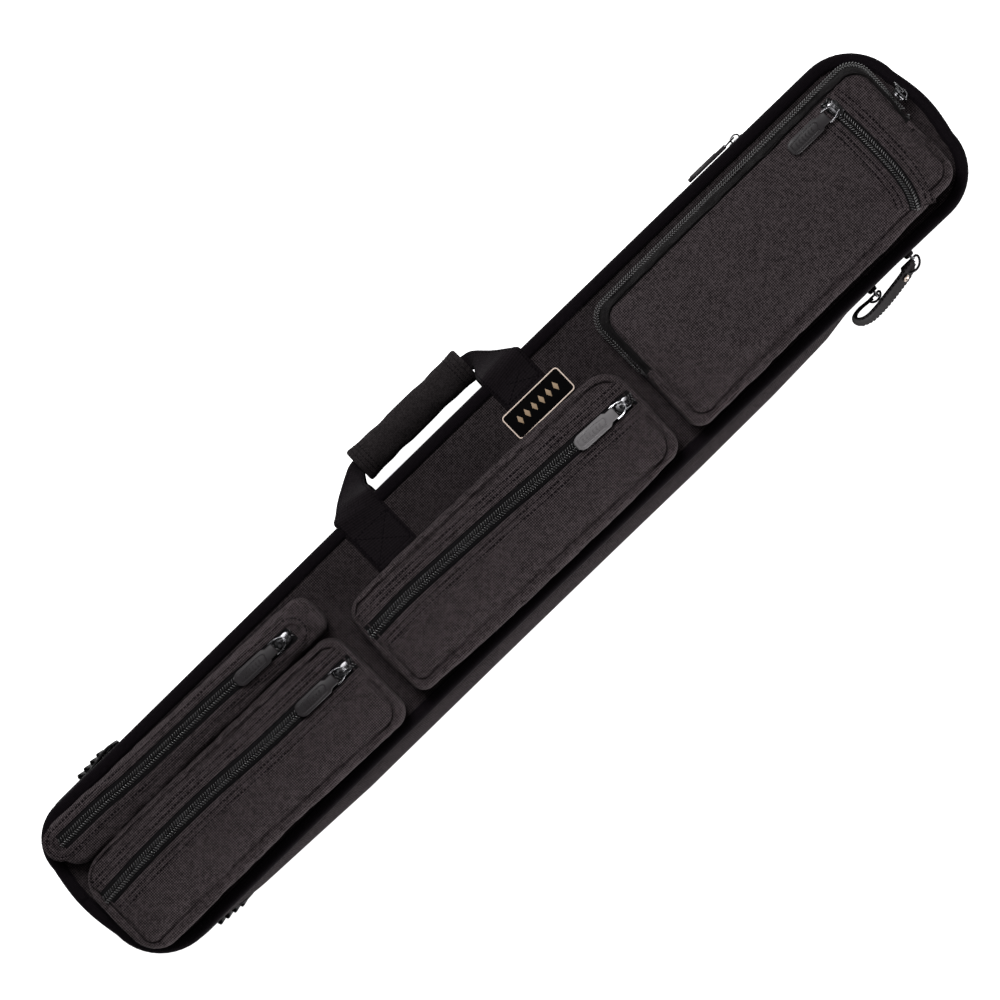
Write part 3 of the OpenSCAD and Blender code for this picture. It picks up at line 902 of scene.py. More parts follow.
middle_line = boxed_pocket(
    "middle", [(-0.5, 4.6), (-3, 3.4), (-0.6, -4), (3, -2.5)], [(14, 10, 14, 20), (0, 0.6, 0, 0)],
    [(3, 8.6), (-9.5, 8), (-3.6, -9.4), (8.5, -8)], [(9, 8, 16, 16)],
    [(33, 265.2), (32, 239.5), (30, 209.5), (28.3, 164.5), (27, 144.5), (25, 94.5), (23.5, 44.5), (25, 6.5)],
)
right_line = boxed_pocket(
    "right", [(0.8, 4.2), (-0.4, 4.2), (0.6, -2.6), (1, -4.4)], [(22, 20, 14, 14), (0, -3, 0, 0)],
    [(2.5, 9.6), (-7, 8.6), (-4, -9), (6, -9.6)], [(14, 10, 14, 12), (0, -2.5, 0, 0)],
    [(27, 260.6), (26, 171.5), (24, 121.5), (24, 71.5), (25, 41.5), (27.2, 9.2)],
)

# Left pocket: lower and softer, without a sewn rim
LEFT = "left_pocket_gusset"
LEFT_TOP = node_box("left_pocket_face")[1][2] - 1.0
left_outer = outline(from_box(LEFT, (0.4, 4), (-0.6, 3.2), (-1.6, -2), (4.6, -4.5)), (12, 16, 12, 12))
left_places = [(21.7, 240), (21.7, 229), (18, 169), (17, 89), (15, 49), (15, 11)]
left_line = smooth_line(from_corner(LEFT, *left_places), 2.4)
left_rims = [(-0.4, 79), (-0.2, 81), (-0.7, 86), (-0.8, 91), (0.1, LEFT_TOP - 4.6), (1.7, LEFT_TOP - 1.9),
             (3.8, LEFT_TOP - 0.5), (7, LEFT_TOP)]
soft_bag("left_pocket", raised(left_outer, left_rims), 22, [0, 1], near_line(left_line, 7.5, 12),
         material=CANVAS, slot="canvas", body="case", nodes=[LEFT, "left_pocket_face"], fill=0.5)

# Top pocket: a base, a zip round its left side, and a cover that folds up from it
TOP = "top_pocket_base"
FLAP_X = node_box("top_pocket_zip")[1][0]
ZIP_LOW = node_box("top_pocket_zip")[0][2]
ZIP_HIGH = node_box("top_pocket_flap")[0][2]
TOP_FACE = FACE_Z - 1.0
top_outer = outline(from_box(TOP, (2.5, -0.6), (-0.9, -0.6), (-5.0, -8.0), (-0.6, -4.6)), (15, 12, 14, 15))
top_seam = outline(from_box(TOP, (9.5, 5.4), (-6, 5.4), (-10.8, -12), (6.6, -8.8)), (14, 12, 13, 14))
cover_foot = ZIP_HIGH - (ZIP_HIGH - ZIP_LOW - 0.2) * np.clip((top_outer[:, 0] - FLAP_X) / 4, 0, 1)
plain_wall = [(0.5, 0), (-0.3, 0.12), (-0.6, 0.45), (0.1, 0.82)]
plain = raised(top_outer, [(d, mixed(cover_foot, TOP_FACE - 2.2, share)) for d, share in plain_wall])
plain += box_pocket_rings(top_outer, top_seam, CASE_TOP, TOP_FACE)[0][6:]
SLOPE = (0, 0.03, 0.12, 0.28, 0.45, 0.58, 0.7)
taped_heights = [mixed(ZIP_HIGH, TOP_FACE - 0.5, t ** 0.75) for t in SLOPE]
taped = [level(mixed(top_outer, top_seam, t * 0.92), z) for t, z in zip(SLOPE, taped_heights)]
taped += plain[len(SLOPE):]
by_zip = np.clip((FLAP_X + 1 - top_outer[:, 0]) / 4, 0, 1)[:, None]
rings = [mixed(a, b, by_zip) for a, b in zip(plain, taped)]
cross_line = smooth_line([(-50, 371.0), (-38, 373), (-20, 374.3), (0, 374.6), (20, 374), (36, 371.8),
                          (46, 368.6), (52.5, 365.4)], 2.0)
soft_bag("top_cover", rings, 22, [0, 9, 10], near_line(cross_line, 6.5, 11), material=CANVAS, slot="canvas",
         nodes=["top_pocket_panel", "top_pocket_flap"], fill=0.4)


def end_pad(name, node, body):
    """The foam pad inside one end, as wide as the rounded corners of the case let it be."""
    low, high = node_box(node)
    (left, bottom), (right, _), (_, top) = CASE_CORNERS[:3]
    y0, y1 = (bottom + 6, high[1]) if body == "case" else (low[1], top - 6)
    big = min(34, y1 - y0 - 4)
    radii = (big, big, 3, 3) if body == "case" else (3, 3, big, big)
    x0, x1 = left + 18, right - 18
    loop = outline([(x0, y0), (x1, y0), (x1, y1), (x0, y1)], radii, short=22, long=6, arc=4)
    steps = [(2, low[2] + 0.4), (0.6, low[2] + 1.6), (0, low[2] + 5), (0, low[2] + 25)]
    steps += [(0, high[2] - 25), (0, high[2] - 5), (0.6, high[2] - 2), (2, high[2] - 1)]
    soft_bag(name, raised(loop, steps), 26, [0, 7], material=FOAM, slot="foam", body=body, nodes=[node],
             fill=0.7)


end_pad("base_foam", "base_pad", "case")
end_pad("lid_foam", "lid_end_pad", "lid")

# Grip: a padded roll of canvas round the webbing
GRIP_LOW, GRIP_HIGH = node_box("grip_wrap")
grip_middle = (GRIP_LOW + GRIP_HIGH) / 2
grip_radius = (GRIP_HIGH[0] - GRIP_LOW[0]) / 2


def grip_ring(y, radius, n=28):
    """A ring of the grip, slightly squared."""
    turn = np.linspace(0, 2 * math.pi, n, endpoint=False)
    reach = radius * (1 + 0.035 * np.cos(4 * turn))
    x, z = grip_middle[0] + reach * np.cos(turn) * 1.02, grip_middle[2] + reach * np.sin(turn)
    return np.column_stack([x, np.full(n, y), z])


inner_radius = grip_radius - 4.5
grip_steps = [(14, inner_radius - 1), (2, inner_radius), (0.3, inner_radius + 1.6), (-0.6, grip_radius - 0.4),
              (-0.2, grip_radius + 1.2), (2.0, grip_radius + 1.9)]
grip_rows = [grip_ring(GRIP_LOW[1] + y, r) for y, r in grip_steps]
grip_rows += [grip_ring(y, grip_radius + 0.9) for y in np.linspace(GRIP_LOW[1] + 8, GRIP_HIGH[1] - 8, 18)]
grip_rows += [grip_ring(GRIP_HIGH[1] - y, r) for y, r in reversed(grip_steps)]
grip_points = np.vstack([*grip_rows, grip_rows[0].mean(axis=0), grip_rows[-1].mean(axis=0)])
grip_n = len(grip_rows[0])
grip_faces = quads(len(grip_rows), grip_n, True)
hub = len(grip_points) - 2
last_row = hub - grip_n
grip_faces += [(hub, (i + 1) % grip_n, i) for i in range(grip_n)]
grip_faces += [(hub + 1, last_row + i, last_row + (i + 1) % grip_n) for i in range(grip_n)]
grip_pin = np.zeros(len(grip_points))
grip_pin[:6 * grip_n] = 1
grip_pin[-2 - 6 * grip_n:] = 1
grip_looks = dict(material=CANVAS_GRIP, slot="body_fabric", body="handle", nodes=["grip_wrap", "grip_core"],
                  fill=0.8)
soft.append({"name": "grip_roll", "points": grip_points, "faces": grip_faces, "pin": grip_pin, "cap": 0.9,
             "looks": grip_looks})

inflate(soft)


def fold(obj):
    """The piece's placement baked into its mesh; it rides on no body."""
    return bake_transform(obj)


made = {}
for b in soft:
    looks = b["looks"]
    obj = piece(b["name"], (b["points"], b["faces"]), looks["material"], looks["slot"], nodes=looks["nodes"])
    refine(obj, SUBDIVIDE)
    made[b["name"]] = obj


def inside(places, loop):
    """Which places in plan are inside a loop."""
    crossings = np.zeros(len(places), int)
    for a, b in zip(loop, np.roll(loop, -1, axis=0)):
        between = (a[1] > places[:, 1]) != (b[1] > places[:, 1])
        reach = a[0] + (places[:, 1] - a[1]) / (b[1] - a[1] + 1e-9) * (b[0] - a[0])
        crossings += between & (places[:, 0] < reach)
    return crossings % 2 == 1


# The cover is a hollow shell: its foot is opened, it gets a thickness, and its rim by the zip is tape
cover = made["top_cover"]
opened = bmesh.new()
opened.from_mesh(cover.data)
foot_top = (ZIP_HIGH + 1.5) * MM
foot_faces = [f for f in opened.faces if f.normal.z < -0.8 and f.calc_center_median().z < foot_top]
bmesh.ops.delete(opened, geom=foot_faces, context="FACES")
opened.to_mesh(cover.data)
opened.free()
refine(cover, ("SOLIDIFY", {"thickness": 2 * MM, "offset": -1}))
cover.data.materials.append(TAPE_PALE)
places = np.array([p.center for p in cover.data.polygons]) / MM
is_tape = ~inside(places, top_seam) & (places[:, 0] < FLAP_X) & (places[:, 2] > ZIP_HIGH - 0.5)
cover.data.polygons.foreach_set("material_index", is_tape.astype(np.int32))
cover_points = np.array([v.co for v in cover.data.vertices]) / MM
add_values(cover.data, "along", cover_points[:, 1])
add_values(cover.data, "across", cover_points[:, 0])
fold(cover)
for b in soft:
    if b["name"] != "top_cover":
        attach(made[b["name"]], b["looks"]["body"])

base_section = [(0.4, 79), (-0.2, 81), (-0.7, 85), (-0.5, 89.5), (0.3, ZIP_LOW - 0.2), (2.6, ZIP_LOW - 0.2),
                (2.8, 86), (2.8, 79)]
piece("top_base", band(top_outer, base_section), CANVAS, "canvas", "case", ["top_pocket_base"])


# ---- Zips ----

UP = np.array([0.0, 0.0, 1.0])
TAPE_SECTION = [(6.9, 0.15), (4.4, 0.45), (1.2, 0.5), (-1.2, 0.5), (-4.4, 0.45), (-6.9, 0.15),
                (-6.9, -0.8), (0, -0.8), (6.9, -0.8)]
LIP_SECTION = [(6.5, -0.7), (6.45, 0.8), (6.8, 1.45), (7.8, 1.75), (9.8, 1.5), (11.0, 0.95), (12.2, 1.3),
               (14.2, 1.05), (15.2, 0.5), (16.4, 0.6), (17.8, -0.1), (17.9, -0.8)]


def upright_coil(name, line):
    """The coil of a zip that faces up."""
    side, _ = sides_of(line, UP)
    return piece(name, coil(line, side, np.broadcast_to(UP, side.shape)), COIL, "zip_coil")


def face_zip(name, line, ground, otherwise, place, nodes, narrow=0.0):
    """A zip laid on a pocket's face: tape, coil, the two folded canvas lips and their double stitching."""
    tape_section = [(math.copysign(max(abs(d) - narrow, 0.2), d) if d else 0.0, z) for d, z in TAPE_SECTION]
    shape, along, across = flat_strip(line, tape_section, ground, otherwise)
    place(piece(name + "_tape", shape, TAPE, "zip_coil", along=along, across=across, nodes=nodes))
    middle = ground.lay(line, otherwise, 0.95)
    middle[:, 2] = np.convolve(np.pad(middle[:, 2], 2, "edge"), np.ones(5) / 5, "valid")
    place(upright_coil(name + "_coil", middle))
    lips = []
    for sign in (1, -1):
        section = [(sign * (d - narrow), z) for d, z in LIP_SECTION][::sign]
        lips.append(flat_strip(line, section, ground, otherwise, fade=3.0)[0])
    lip = place(piece(name + "_lips", joined(*lips), CANVAS, "canvas"))
    on_lips = Ground(lip)
    sewn = []
    flat = np.column_stack([line, np.zeros(len(line))])
    side, _ = sides_of(flat, UP)
    for away in (11.0 - narrow, 15.3 - narrow):
        for sign in (1, -1):
            run = on_lips.lay(flat + side * away * sign, otherwise, 0.12)[1:-1]
            sewn.append(stitches(run, UP))
    place(piece(name + "_stitches", joined(*sewn), STITCH, "canvas"))


def on_case(obj):
    """The piece stays with the case."""
    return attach(obj, "case")


left_ground = Ground(made["left_pocket"])
face_zip("middle_zip", middle_line, Ground(made["middle_pocket"]), FACE_Z - 3, on_case, ["middle_zip_chain"])
face_zip("right_zip", right_line, Ground(made["right_pocket"]), FACE_Z - 3, on_case, ["right_zip_chain"])
face_zip("cross_zip", cross_line, Ground(cover), FACE_Z - 3, fold, ["cross_zip_panel", "cross_zip_flap"], 1.9)

# The left pocket's zip sits in a slot with round ends
slot_half = 6.3
left3 = np.column_stack([left_line, np.zeros(len(left_line))])
left_side, left_ahead = sides_of(left3, UP)


def round_end(centre, ahead, side):
    turn = np.linspace(0, math.pi, 9)[1:-1]
    return [centre + slot_half * (math.sin(t) * ahead + math.cos(t) * side) for t in turn]


slot_loop = np.vstack([
    left3 - left_side * slot_half,
    round_end(left3[-1], left_ahead[-1], -left_side[-1]),
    (left3 + left_side * slot_half)[::-1],
    round_end(left3[0], -left_ahead[0], left_side[0]),
])[::-1, :2]
if np.sum(np.cross(slot_loop, np.roll(slot_loop, -1, axis=0))) < 0:
    slot_loop = slot_loop[::-1]
slot_lip = [(0.2, -0.7), (0.25, 0.8), (-0.15, 1.4), (-1.2, 1.65), (-3.0, 1.4), (-4.6, 0.8), (-5.8, 0.9),
            (-7.6, 0.0), (-7.8, -0.8)]
rows = [left_ground.lay(inset(slot_loop, away), LEFT_TOP - 2, lift) for away, lift in slot_lip]
left_lip = piece("left_zip_lips", swept(rows, True), CANVAS, "canvas", "case")
shape, along, across = flat_strip(left_line, TAPE_SECTION, left_ground, LEFT_TOP - 2)
piece("left_zip_tape", shape, TAPE, "zip_coil", "case", ["left_zip_chain"], along=along, across=across)
on_case(upright_coil("left_zip_coil", left_ground.lay(left_line, LEFT_TOP - 2, 0.95)))
run = Ground(left_lip).lay(inset(slot_loop, -4.7), LEFT_TOP, 0.12)
piece("left_zip_stitches", stitches(np.vstack([run, run[:1]]), UP), STITCH, "canvas", "case")


def side_zip(name, loop, z_low, z_high, body, node, lean=0.0):
    """A zip standing on edge round a loop's points, its tape just inside the loop and its coil outward."""
    depth = 0.9
    ahead = units(np.gradient(loop, axis=0))
    out = np.column_stack([ahead[:, 1], -ahead[:, 0]])
    z_mid = (z_low + z_high) / 2
    section = [(0, z_low), (-0.4, z_mid - 1), (-0.4, z_mid + 1), (0, z_high), (-1.5, z_high), (-1.5, z_low)]
    rows = [level(loop + out * (d - depth), z) for d, z in section]
    piece(name + "_tape", swept(rows, False), TAPE, "zip_coil", body, [node], **measures(rows))
    line = level(loop - out * (depth - 0.1 - 1.6 * lean), z_mid + lean * (z_high - z_mid + 0.4))
    outward = np.column_stack([out, np.zeros(len(out))])
    ups = np.broadcast_to(UP, line.shape)
    loops = coil(line, units(ups - outward * lean), units(outward + ups * lean), half=2.7)
    piece(name + "_coil", loops, COIL, "zip_coil", body)


round_left = np.roll(top_outer, -len(top_outer) // 2 - 1, axis=0)
round_left = round_left[round_left[:, 0] < FLAP_X + 0.2]
side_zip("top_zip", round_left, ZIP_LOW - 0.3, ZIP_HIGH - 0.2, "case", "top_pocket_zip", lean=1.0)

lid_zip_low, lid_zip_high = node_box("lid_zip_chain")
lid_zip_loop = inset(case_outline, 1.7)[UPPER]
lid_zip_loop[[0, -1], 1] = lid_y + lid_gap
side_zip("lid_zip", lid_zip_loop, lid_zip_low[2] - 0.3, lid_zip_high[2], "lid", "lid_zip_chain")


# ---- Sliders, rings and pulls ----

def both_sides(half):
    """Points in plan and their mirror images across the Y axis, as one loop."""
    return half + [(-x, y) for x, y in reversed(half) if x]


def slider_parts(turned=False):
    """A zip slider at its own origin, resting on z 0: nose towards +Y, ring through the bail at z 3.8."""
    w, l = 4.3, 6.3  # half its width and half its length
    plate = both_sides([(w * 0.62, -l), (w * 0.78, -l * 0.35), (w, l * 0.35), (w * 0.86, l * 0.8),
                        (w * 0.45, l), (0, l * 0.82)])
    flange = [(-w * 0.98, -l * 0.9), (-w * 0.6, -l * 0.9), (-w * 0.72, l * 0.3), (-w * 0.98, l * 0.6)]
    other = [(-x, y) for x, y in reversed(flange)]
    shapes = [slab(np.array(plate), 0.9, 2.2, 0.45)]
    shapes += [slab(np.array(side), -1.2, 1.3, 0.2) for side in (flange, other)]
    arch = [(0.62, 1.6), (0.62, 3.6), (0.40, 5.1), (0, 5.6), (-0.34, 5.1), (-0.5, 3.6), (-0.5, 1.6)]
    line = smooth_line([(0, l * y, z) for y, z in arch], 0.5)
    for x in (-0.75, 0, 0.75):
        shapes.append(wire(line + [x, 0, 0], 0.62, 8))
    points, faces = joined(*shapes)
    if turned:
        points = points @ np.array([[0, 1, 0], [-1, 0, 0], [0, 0, 1]])
    return points, faces


def arch_ring(length):
    """The wire arch that joins a slider to its pull, through the bail at the origin and down to y -length."""
    left = [(-4.9, -length - 1.2, 0), (-5.0, -length + 1.5, 0.05), (-4.5, -4.2, 0.2), (-3.2, -1.2, 0.3),
            (-1.2, 0.1, 0.3)]
    line = left + [(-x, y, z) for x, y, z in reversed(left)]
    bar = wire([(-5.4, -length - 0.6, 0), (5.4, -length - 0.6, 0)], 0.6)
    return joined(wire(smooth_line(line, 0.5), 0.68, 10), bar)


def pull_body(length, width=12.0, thick=3.0):
    """A moulded rubber pull: a neck on the ring's bar, cut corners, and a rimmed panel with ridges."""
    half, neck = width / 2, 4.3
    shape = [(neck * 0.9, 1.4), (neck, 0.6), (neck, -5.2), (half, -7.6), (half, -length + 5.4)]
    shape += [(half - 1.0, -length + 2.4), (half - 3.4, -length + 0.3)]
    top = thick / 2
    sunk = both_sides([(half - 2.6, -9.5), (half - 2.6, -length + 5.6), (half - 4.4, -length + 3.4)])
    parts = [slab(np.array(both_sides(shape))[::-1], -top, top, 0.8)]
    parts.append(wire(smooth_line([(x, y, top) for x, y in sunk + sunk[:1]], 0.8), 0.5, 8))
    for k in range(6):
        y = -13.0 - k * (length - 21.0) / 5
        parts.append(wire(smooth_line([(-1.9, y, top), (0, y - 0.9, top), (1.9, y, top)], 0.6), 0.5, 8))
    return joined(*parts)


def placed(shape, origin, x_axis, y_axis):
    """The shape with its own X and Y laid along these directions."""
    x_axis, y_axis = unit(np.array(x_axis, float)), unit(np.array(y_axis, float))
    frame3 = np.array([x_axis, y_axis, np.cross(x_axis, y_axis)])
    return shape[0] @ frame3 + np.array(origin, float), shape[1]


def zip_hardware(name, along, across, bodies, ring_metal, turned=False, has_pull=True):
    """Slider, arch ring and pull of one zip, where their CAD nodes are; along points from pull to slider."""
    along, across = unit(np.array(along, float)), unit(np.array(across, float))
    up = np.cross(across, along)
    low, high = node_box(name + "_zip_slider")
    middle = (low + high) / 2
    foot = middle + up * (np.abs(up) @ (low - high)) / 2
    slider = placed(slider_parts(turned), foot, across, along)
    piece(name + "_slider_metal", slider, GUNMETAL, "slider_metal", bodies[0], [name + "_zip_slider"])
    ring_low, ring_high = node_box(name + "_zip_ring")
    centre = (ring_low + ring_high) / 2
    length = np.abs(along) @ (ring_high - ring_low) - 1.6
    top = centre + along * length / 2
    if has_pull:
        ring = placed(arch_ring(length), top, across, along)
        piece(name + "_ring_wire", ring, ring_metal, "slider_metal", bodies[1], [name + "_zip_ring"])
        pull_low, pull_high = node_box(name + "_zip_pull")
        pull_middle = (pull_low + pull_high) / 2
        span = np.abs(along) @ (pull_high - pull_low)
        start = pull_middle + along * span / 2
        # The middle pull takes the lighter rubber: a painted highlight for its tilt catching the light.
        rubber = RUBBER_PAINTED_HIGHLIGHT if name == "middle" else RUBBER
        pull = placed(pull_body(span - 0.4), start, across, along)
        piece(name + "_pull_tab", pull, rubber, "pull_rubber", bodies[1], [name + "_zip_pull"])
    else:
        half_ring = [(3.2, -1.0, 0), (4.4, -length * 0.6, 0), (3.6, -length, 0)]
        mirrored = [(-x, y, z) for x, y, z in reversed(half_ring)]
        loop = [*mirrored, (0, 0.1, 0), *half_ring, (0, -length - 0.6, 0)]
        line = smooth_line(loop + loop[:1], 0.6)[:-1]
        ring = placed(wire(line, 0.7, 10, closed=True), top, across, along)
        piece(name + "_ring_wire", ring, ring_metal, "slider_metal", bodies[1], [name + "_zip_ring"])


def zip_direction(node):
    """Direction of a nearly upright zip towards its slider, from the slant between its pull and its ring."""
    pull_low, pull_high = node_box(node + "_zip_pull")
    ring_low, ring_high = node_box(node + "_zip_ring")
    run = (ring_low + ring_high - pull_low - pull_high) / 2
    return (run[0], run[1], 0)


for name, wire_kind in (("middle", WIRE_METAL), ("right", GUNMETAL), ("left", GUNMETAL)):
    direction = zip_direction(name)
    sideways = (direction[1], -direction[0], 0)
    zip_hardware(name, direction, sideways, (name + "_slider", name + "_pull"), wire_kind)
zip_hardware("cross", (0, 1, 0), (1, 0, 0), ("cross_slider", "cross_pull"), GUNMETAL, turned=True)
zip_hardware("lid", (0, 1, 0), (0, 0, 1), ("lid_slider", "lid_pull"), GUNMETAL)
zip_hardware("top", (1, 0, 0), (0, 0, 1), ("top_slider", "top_ring"), GUNMETAL, has_pull=False)


# ---- Badge ----

badge_low, badge_high = node_box("badge")
badge_loop = outline(from_box("badge", *[(0, 0)] * 4), (3.4,) * 4, short=4, long=10, arc=6)
badge_z = badge_low[2] + 0.5
badge_plate = slab(badge_loop, badge_z, badge_z + 1.5, 0.4)
piece("badge_plate", badge_plate, BADGE_FIELD, "badge_face", "case", ["badge"])
border = level(inset(badge_loop, 0.7), badge_z + 1.45)
piece("badge_border", wire(border, 0.55, 8, closed=True), BADGE_MARK, "badge_face", "case")
marks = []
for k in range(6):
    centre = np.array([(badge_low[0] + badge_high[0]) / 2 - 0.5, badge_low[1] + 10.5 + k * 7.2])
    diamond = centre + np.array([(-4.0, 0), (0, -2.1), (4.0, 0), (0, 2.1)])
    marks.append(slab(diamond, badge_z + 1.35, badge_z + 1.65, 0.12))
piece("badge_marks", joined(*marks), BADGE_TAN, "badge_face", "case")


# ---- Handle ----

grip_x, grip_z = grip_middle[0], grip_middle[2]
strap_top = CASE_TOP + 1.3
edge_x = BINDING_LOW[0]


def leg_edges(inner_x, y_far, y_near, y_grip, out):
    """Far and near edges of a front leg: across the panel, over the binding and down into the grip's end."""
    over = [(inner_x, 0), (-62, 0), (-70.5, 1.6), (edge_x - 1.2, 2.4)]
    far = [(x, y_far, strap_top + z) for x, z in over]
    far += [(edge_x - 5.5, y_far - out * 5.5, 79), (edge_x - 13, y_far - out * 15, 69),
            (grip_x - 2.5, y_grip + out * 10.5, 56), (grip_x - 5.5, y_grip + out * 4, 46.5),
            (grip_x - 6.5, y_grip - out * 4, 43)]
    near = [(x, y_near, strap_top + z) for x, z in over]
    near += [(edge_x - 4.5, y_near + out * 0.2, 77), (edge_x - 8, y_near + out * 0.8, 66),
             (grip_x + 8.5, y_grip + out * 2.2, 55), (grip_x + 6.8, y_grip + out * 0.6, 47.5),
             (grip_x + 6, y_grip - out * 4, 43.5)]
    return far, near


def strap_stitches(far, near, away, lift, skip=0.0):
    """Stitching just inside a strap's two edges, on its upper side, without the last share to skip."""
    a, b = matched(far, near, 2.5)
    across = units(b - a)
    normal = units(np.cross(np.gradient((a + b) / 2, axis=0), across))
    normal *= np.sign(normal[:, 2:3] + 1e-9)
    keep = slice(1, int(len(a) * (1 - skip)))
    rows = []
    for edge, sign in ((a, 1), (b, -1)):
        rows.append(stitches((edge + across * away * sign + normal * lift)[keep], normal[keep], thick=0.32))
    return joined(*rows)


STRAP = 1.7
upper_grip, lower_grip = GRIP_HIGH[1], GRIP_LOW[1]
upper_far, upper_near = leg_edges(badge_low[0] + 2, STRAP_HIGH[1], STRAP_HIGH[1] - STRAP_WIDTH, upper_grip, 1)
lower_far, lower_near = leg_edges(STRAP_HIGH[0] - 1, STRAP_LOW[1], STRAP_LOW[1] + STRAP_WIDTH, lower_grip, -1)


def leg(name, far, near, nodes=()):
    """One length of the handle's webbing, from the case to the handle, its placement baked into its mesh."""
    shape, along, across = ribbon(far, near, STRAP, 12, 2.2)
    strap = piece(name, shape, WEBBING, "webbing", nodes=nodes, along=along, across=across)
    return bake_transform(strap)


def to_back(edge):
    """A front leg's edge turned over to the case's back, from where it leaves the wall."""
    return [(x, y, max(2 * grip_z - z, 1.4)) for x, y, z in edge if x < -72]


leg("strap_upper_front", upper_far, upper_near, ["handle_strap_front"])
leg("strap_lower_front", lower_far, lower_near)


def back_leg(name, far, near, nodes=()):
    """A leg from the back of the side wall round to the grip's end."""
    edges = []
    for front in (far, near):
        y = front[3][1]
        turned = [(x, py, max(z, 6.0)) for x, py, z in to_back(front)[1:]]
        edges.append([(edge_x + 2.2, y, 9.5), (edge_x + 0.2, y, 9.0), *turned])
    return leg(name, *edges, nodes)


back_leg("strap_upper_back", upper_far, upper_near, ["handle_strap_back"])
back_leg("strap_lower_back", lower_far, lower_near)
for name, far, near in (("upper", upper_far, upper_near), ("lower", lower_far, lower_near)):
    sewn = strap_stitches(far, near, 2.0, STRAP / 2 + 0.1, 0.12)
    sewn = piece(f"strap_{name}_stitches", sewn, STITCH, "webbing")
    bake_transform(sewn)

# A sewn box with a cross holds each strap to the panel
boxes = []
for x0, x1, y0, y1 in (
    (badge_low[0] - 20, badge_low[0] - 3, STRAP_HIGH[1] - 35.5, STRAP_HIGH[1] - 3),
    (STRAP_HIGH[0] - 32, STRAP_HIGH[0] - 5, STRAP_LOW[1] + 3, STRAP_LOW[1] + 35.5),
):
    z = strap_top + STRAP / 2 + 0.1
    corners = [(x0, y0, z), (x1, y0, z), (x1, y1, z), (x0, y1, z), (x0, y0, z), (x1, y1, z)]
    for a, b in [*zip(corners, corners[1:]), (corners[1], corners[3])]:
        boxes.append(stitches(np.array([a, b], float), UP, thick=0.32))
piece("strap_box_stitches", joined(*boxes), STITCH, "webbing", "case")

# Rows of stitching round the grip's ends
grip_data = made["grip_roll"].data
grip_corners = [v.co.copy() for v in grip_data.vertices]
grip_tree = BVHTree.FromPolygons(grip_corners, [list(p.vertices) for p in grip_data.polygons])
rounds = []
for y in [lower_grip + d for d in (4, 7.5, 11)] + [upper_grip - d for d in (4, 7.5, 11)]:
    run, ups = [], []
    for t in np.linspace(0, 2 * math.pi, 33):
        out = Vector((math.cos(t), 0, math.sin(t)))
        hit = grip_tree.ray_cast(Vector((grip_x, y, grip_z)) * MM + out * 0.03, -out)[0]
        run.append(np.array(hit) / MM + np.array(out) * 0.1)
        ups.append(np.array(out))
    rounds.append(stitches(np.array(run), np.array(ups), pitch=2.8, length=2.0, thick=0.3))
piece("grip_stitches", joined(*rounds), STITCH, "body_fabric", "handle")

# Binding stitches along the lip's inner edge, front and back
front_run = level(inset(case_outline, 7.3), 82.45)
sewn = stitches(np.vstack([front_run, front_run[:1]]), UP, thick=0.3)
piece("front_binding_stitches", sewn, STITCH, "binding", "case")
back_run = level(inset(case_outline, 6.4), 0.25)
for name, keep, body in (("back_binding_stitches", LOWER, "case"), ("lid_binding_stitches", UPPER, "lid")):
    piece(name, stitches(back_run[keep][1:-1], -UP, thick=0.3), STITCH, "binding", body)


# ---- Side loop ----

loop_low, loop_high = node_box("side_loop_strap")
lx, ly, lz = loop_high[0] - 92.5, loop_high[1] - 343, (loop_low[2] + loop_high[2]) / 2 - 40
LOOP_UPPER = [(79.0, 344.5, 46), (80.2, 336, 47.5), (81.8, 327, 48.5), (83.6, 314, 49), (85.4, 302, 49),
              (85.8, 293, 49), (84.4, 287.5, 48), (82, 285.4, 47.5), (79.9, 287.6, 47.5), (79.3, 293, 47),
              (79.7, 299, 46), (80.2, 304.5, 45)]
LOOP_LOWER = [(84.0, 346.5, 36), (88.2, 338, 33.5), (90.3, 327, 32), (92.2, 314, 31.2), (93.0, 302, 31),
              (92.4, 293, 31), (89.2, 285.5, 32), (84.2, 282.8, 32.5), (80.4, 285.4, 33), (79.0, 292, 33),
              (79.4, 299, 35), (79.9, 305.5, 36)]
shift = np.array([lx, ly, lz])
upper_edge, lower_edge = np.array(LOOP_UPPER) + shift, np.array(LOOP_LOWER) + shift
shape, along, across = ribbon(upper_edge, lower_edge, 2.4, 8, 1.6)
piece("loop_strap", shape, LEATHER, "loop_leather", "side_loop", ["side_loop_strap"],
      along=along, across=across)
sewn = strap_stitches(upper_edge[:7], lower_edge[:7], 1.3, 1.25)
piece("loop_stitches", sewn, STITCH, "loop_leather", "side_loop")

rivet_at = (upper_edge[1] + lower_edge[1]) / 2 + np.array([1.2, -4.0, 0.6])
face = unit(np.cross(upper_edge[2] - upper_edge[1], lower_edge[1] - upper_edge[1]))
face = face if face[2] > 0 else -face
turn = np.linspace(0, 2 * math.pi, 20, endpoint=False)
rivet_across = unit(np.cross(face, UP))
rivet_round = np.cos(turn)[:, None] * rivet_across + np.sin(turn)[:, None] * np.cross(face, rivet_across)
RIVET = [(0.1, 0.55), (0.9, 0.75), (1.5, 1.05), (1.9, 1.35), (2.4, 1.45), (2.85, 1.2), (3.0, 0.7), (2.9, 0.2),
         (2.4, -0.6), (0.1, -0.6)]
rivet_rows = [rivet_at + face * (lift + 0.9) + radius * rivet_round for radius, lift in RIVET]
faces = quads(len(rivet_rows), 20, True) + [tuple(range(20)), tuple(9 * 20 + i for i in range(20))]
rivet = np.vstack(rivet_rows), faces
piece("loop_rivet_cap", rivet, RIVET_METAL, "rivet_metal", "side_loop", ["loop_rivet"])


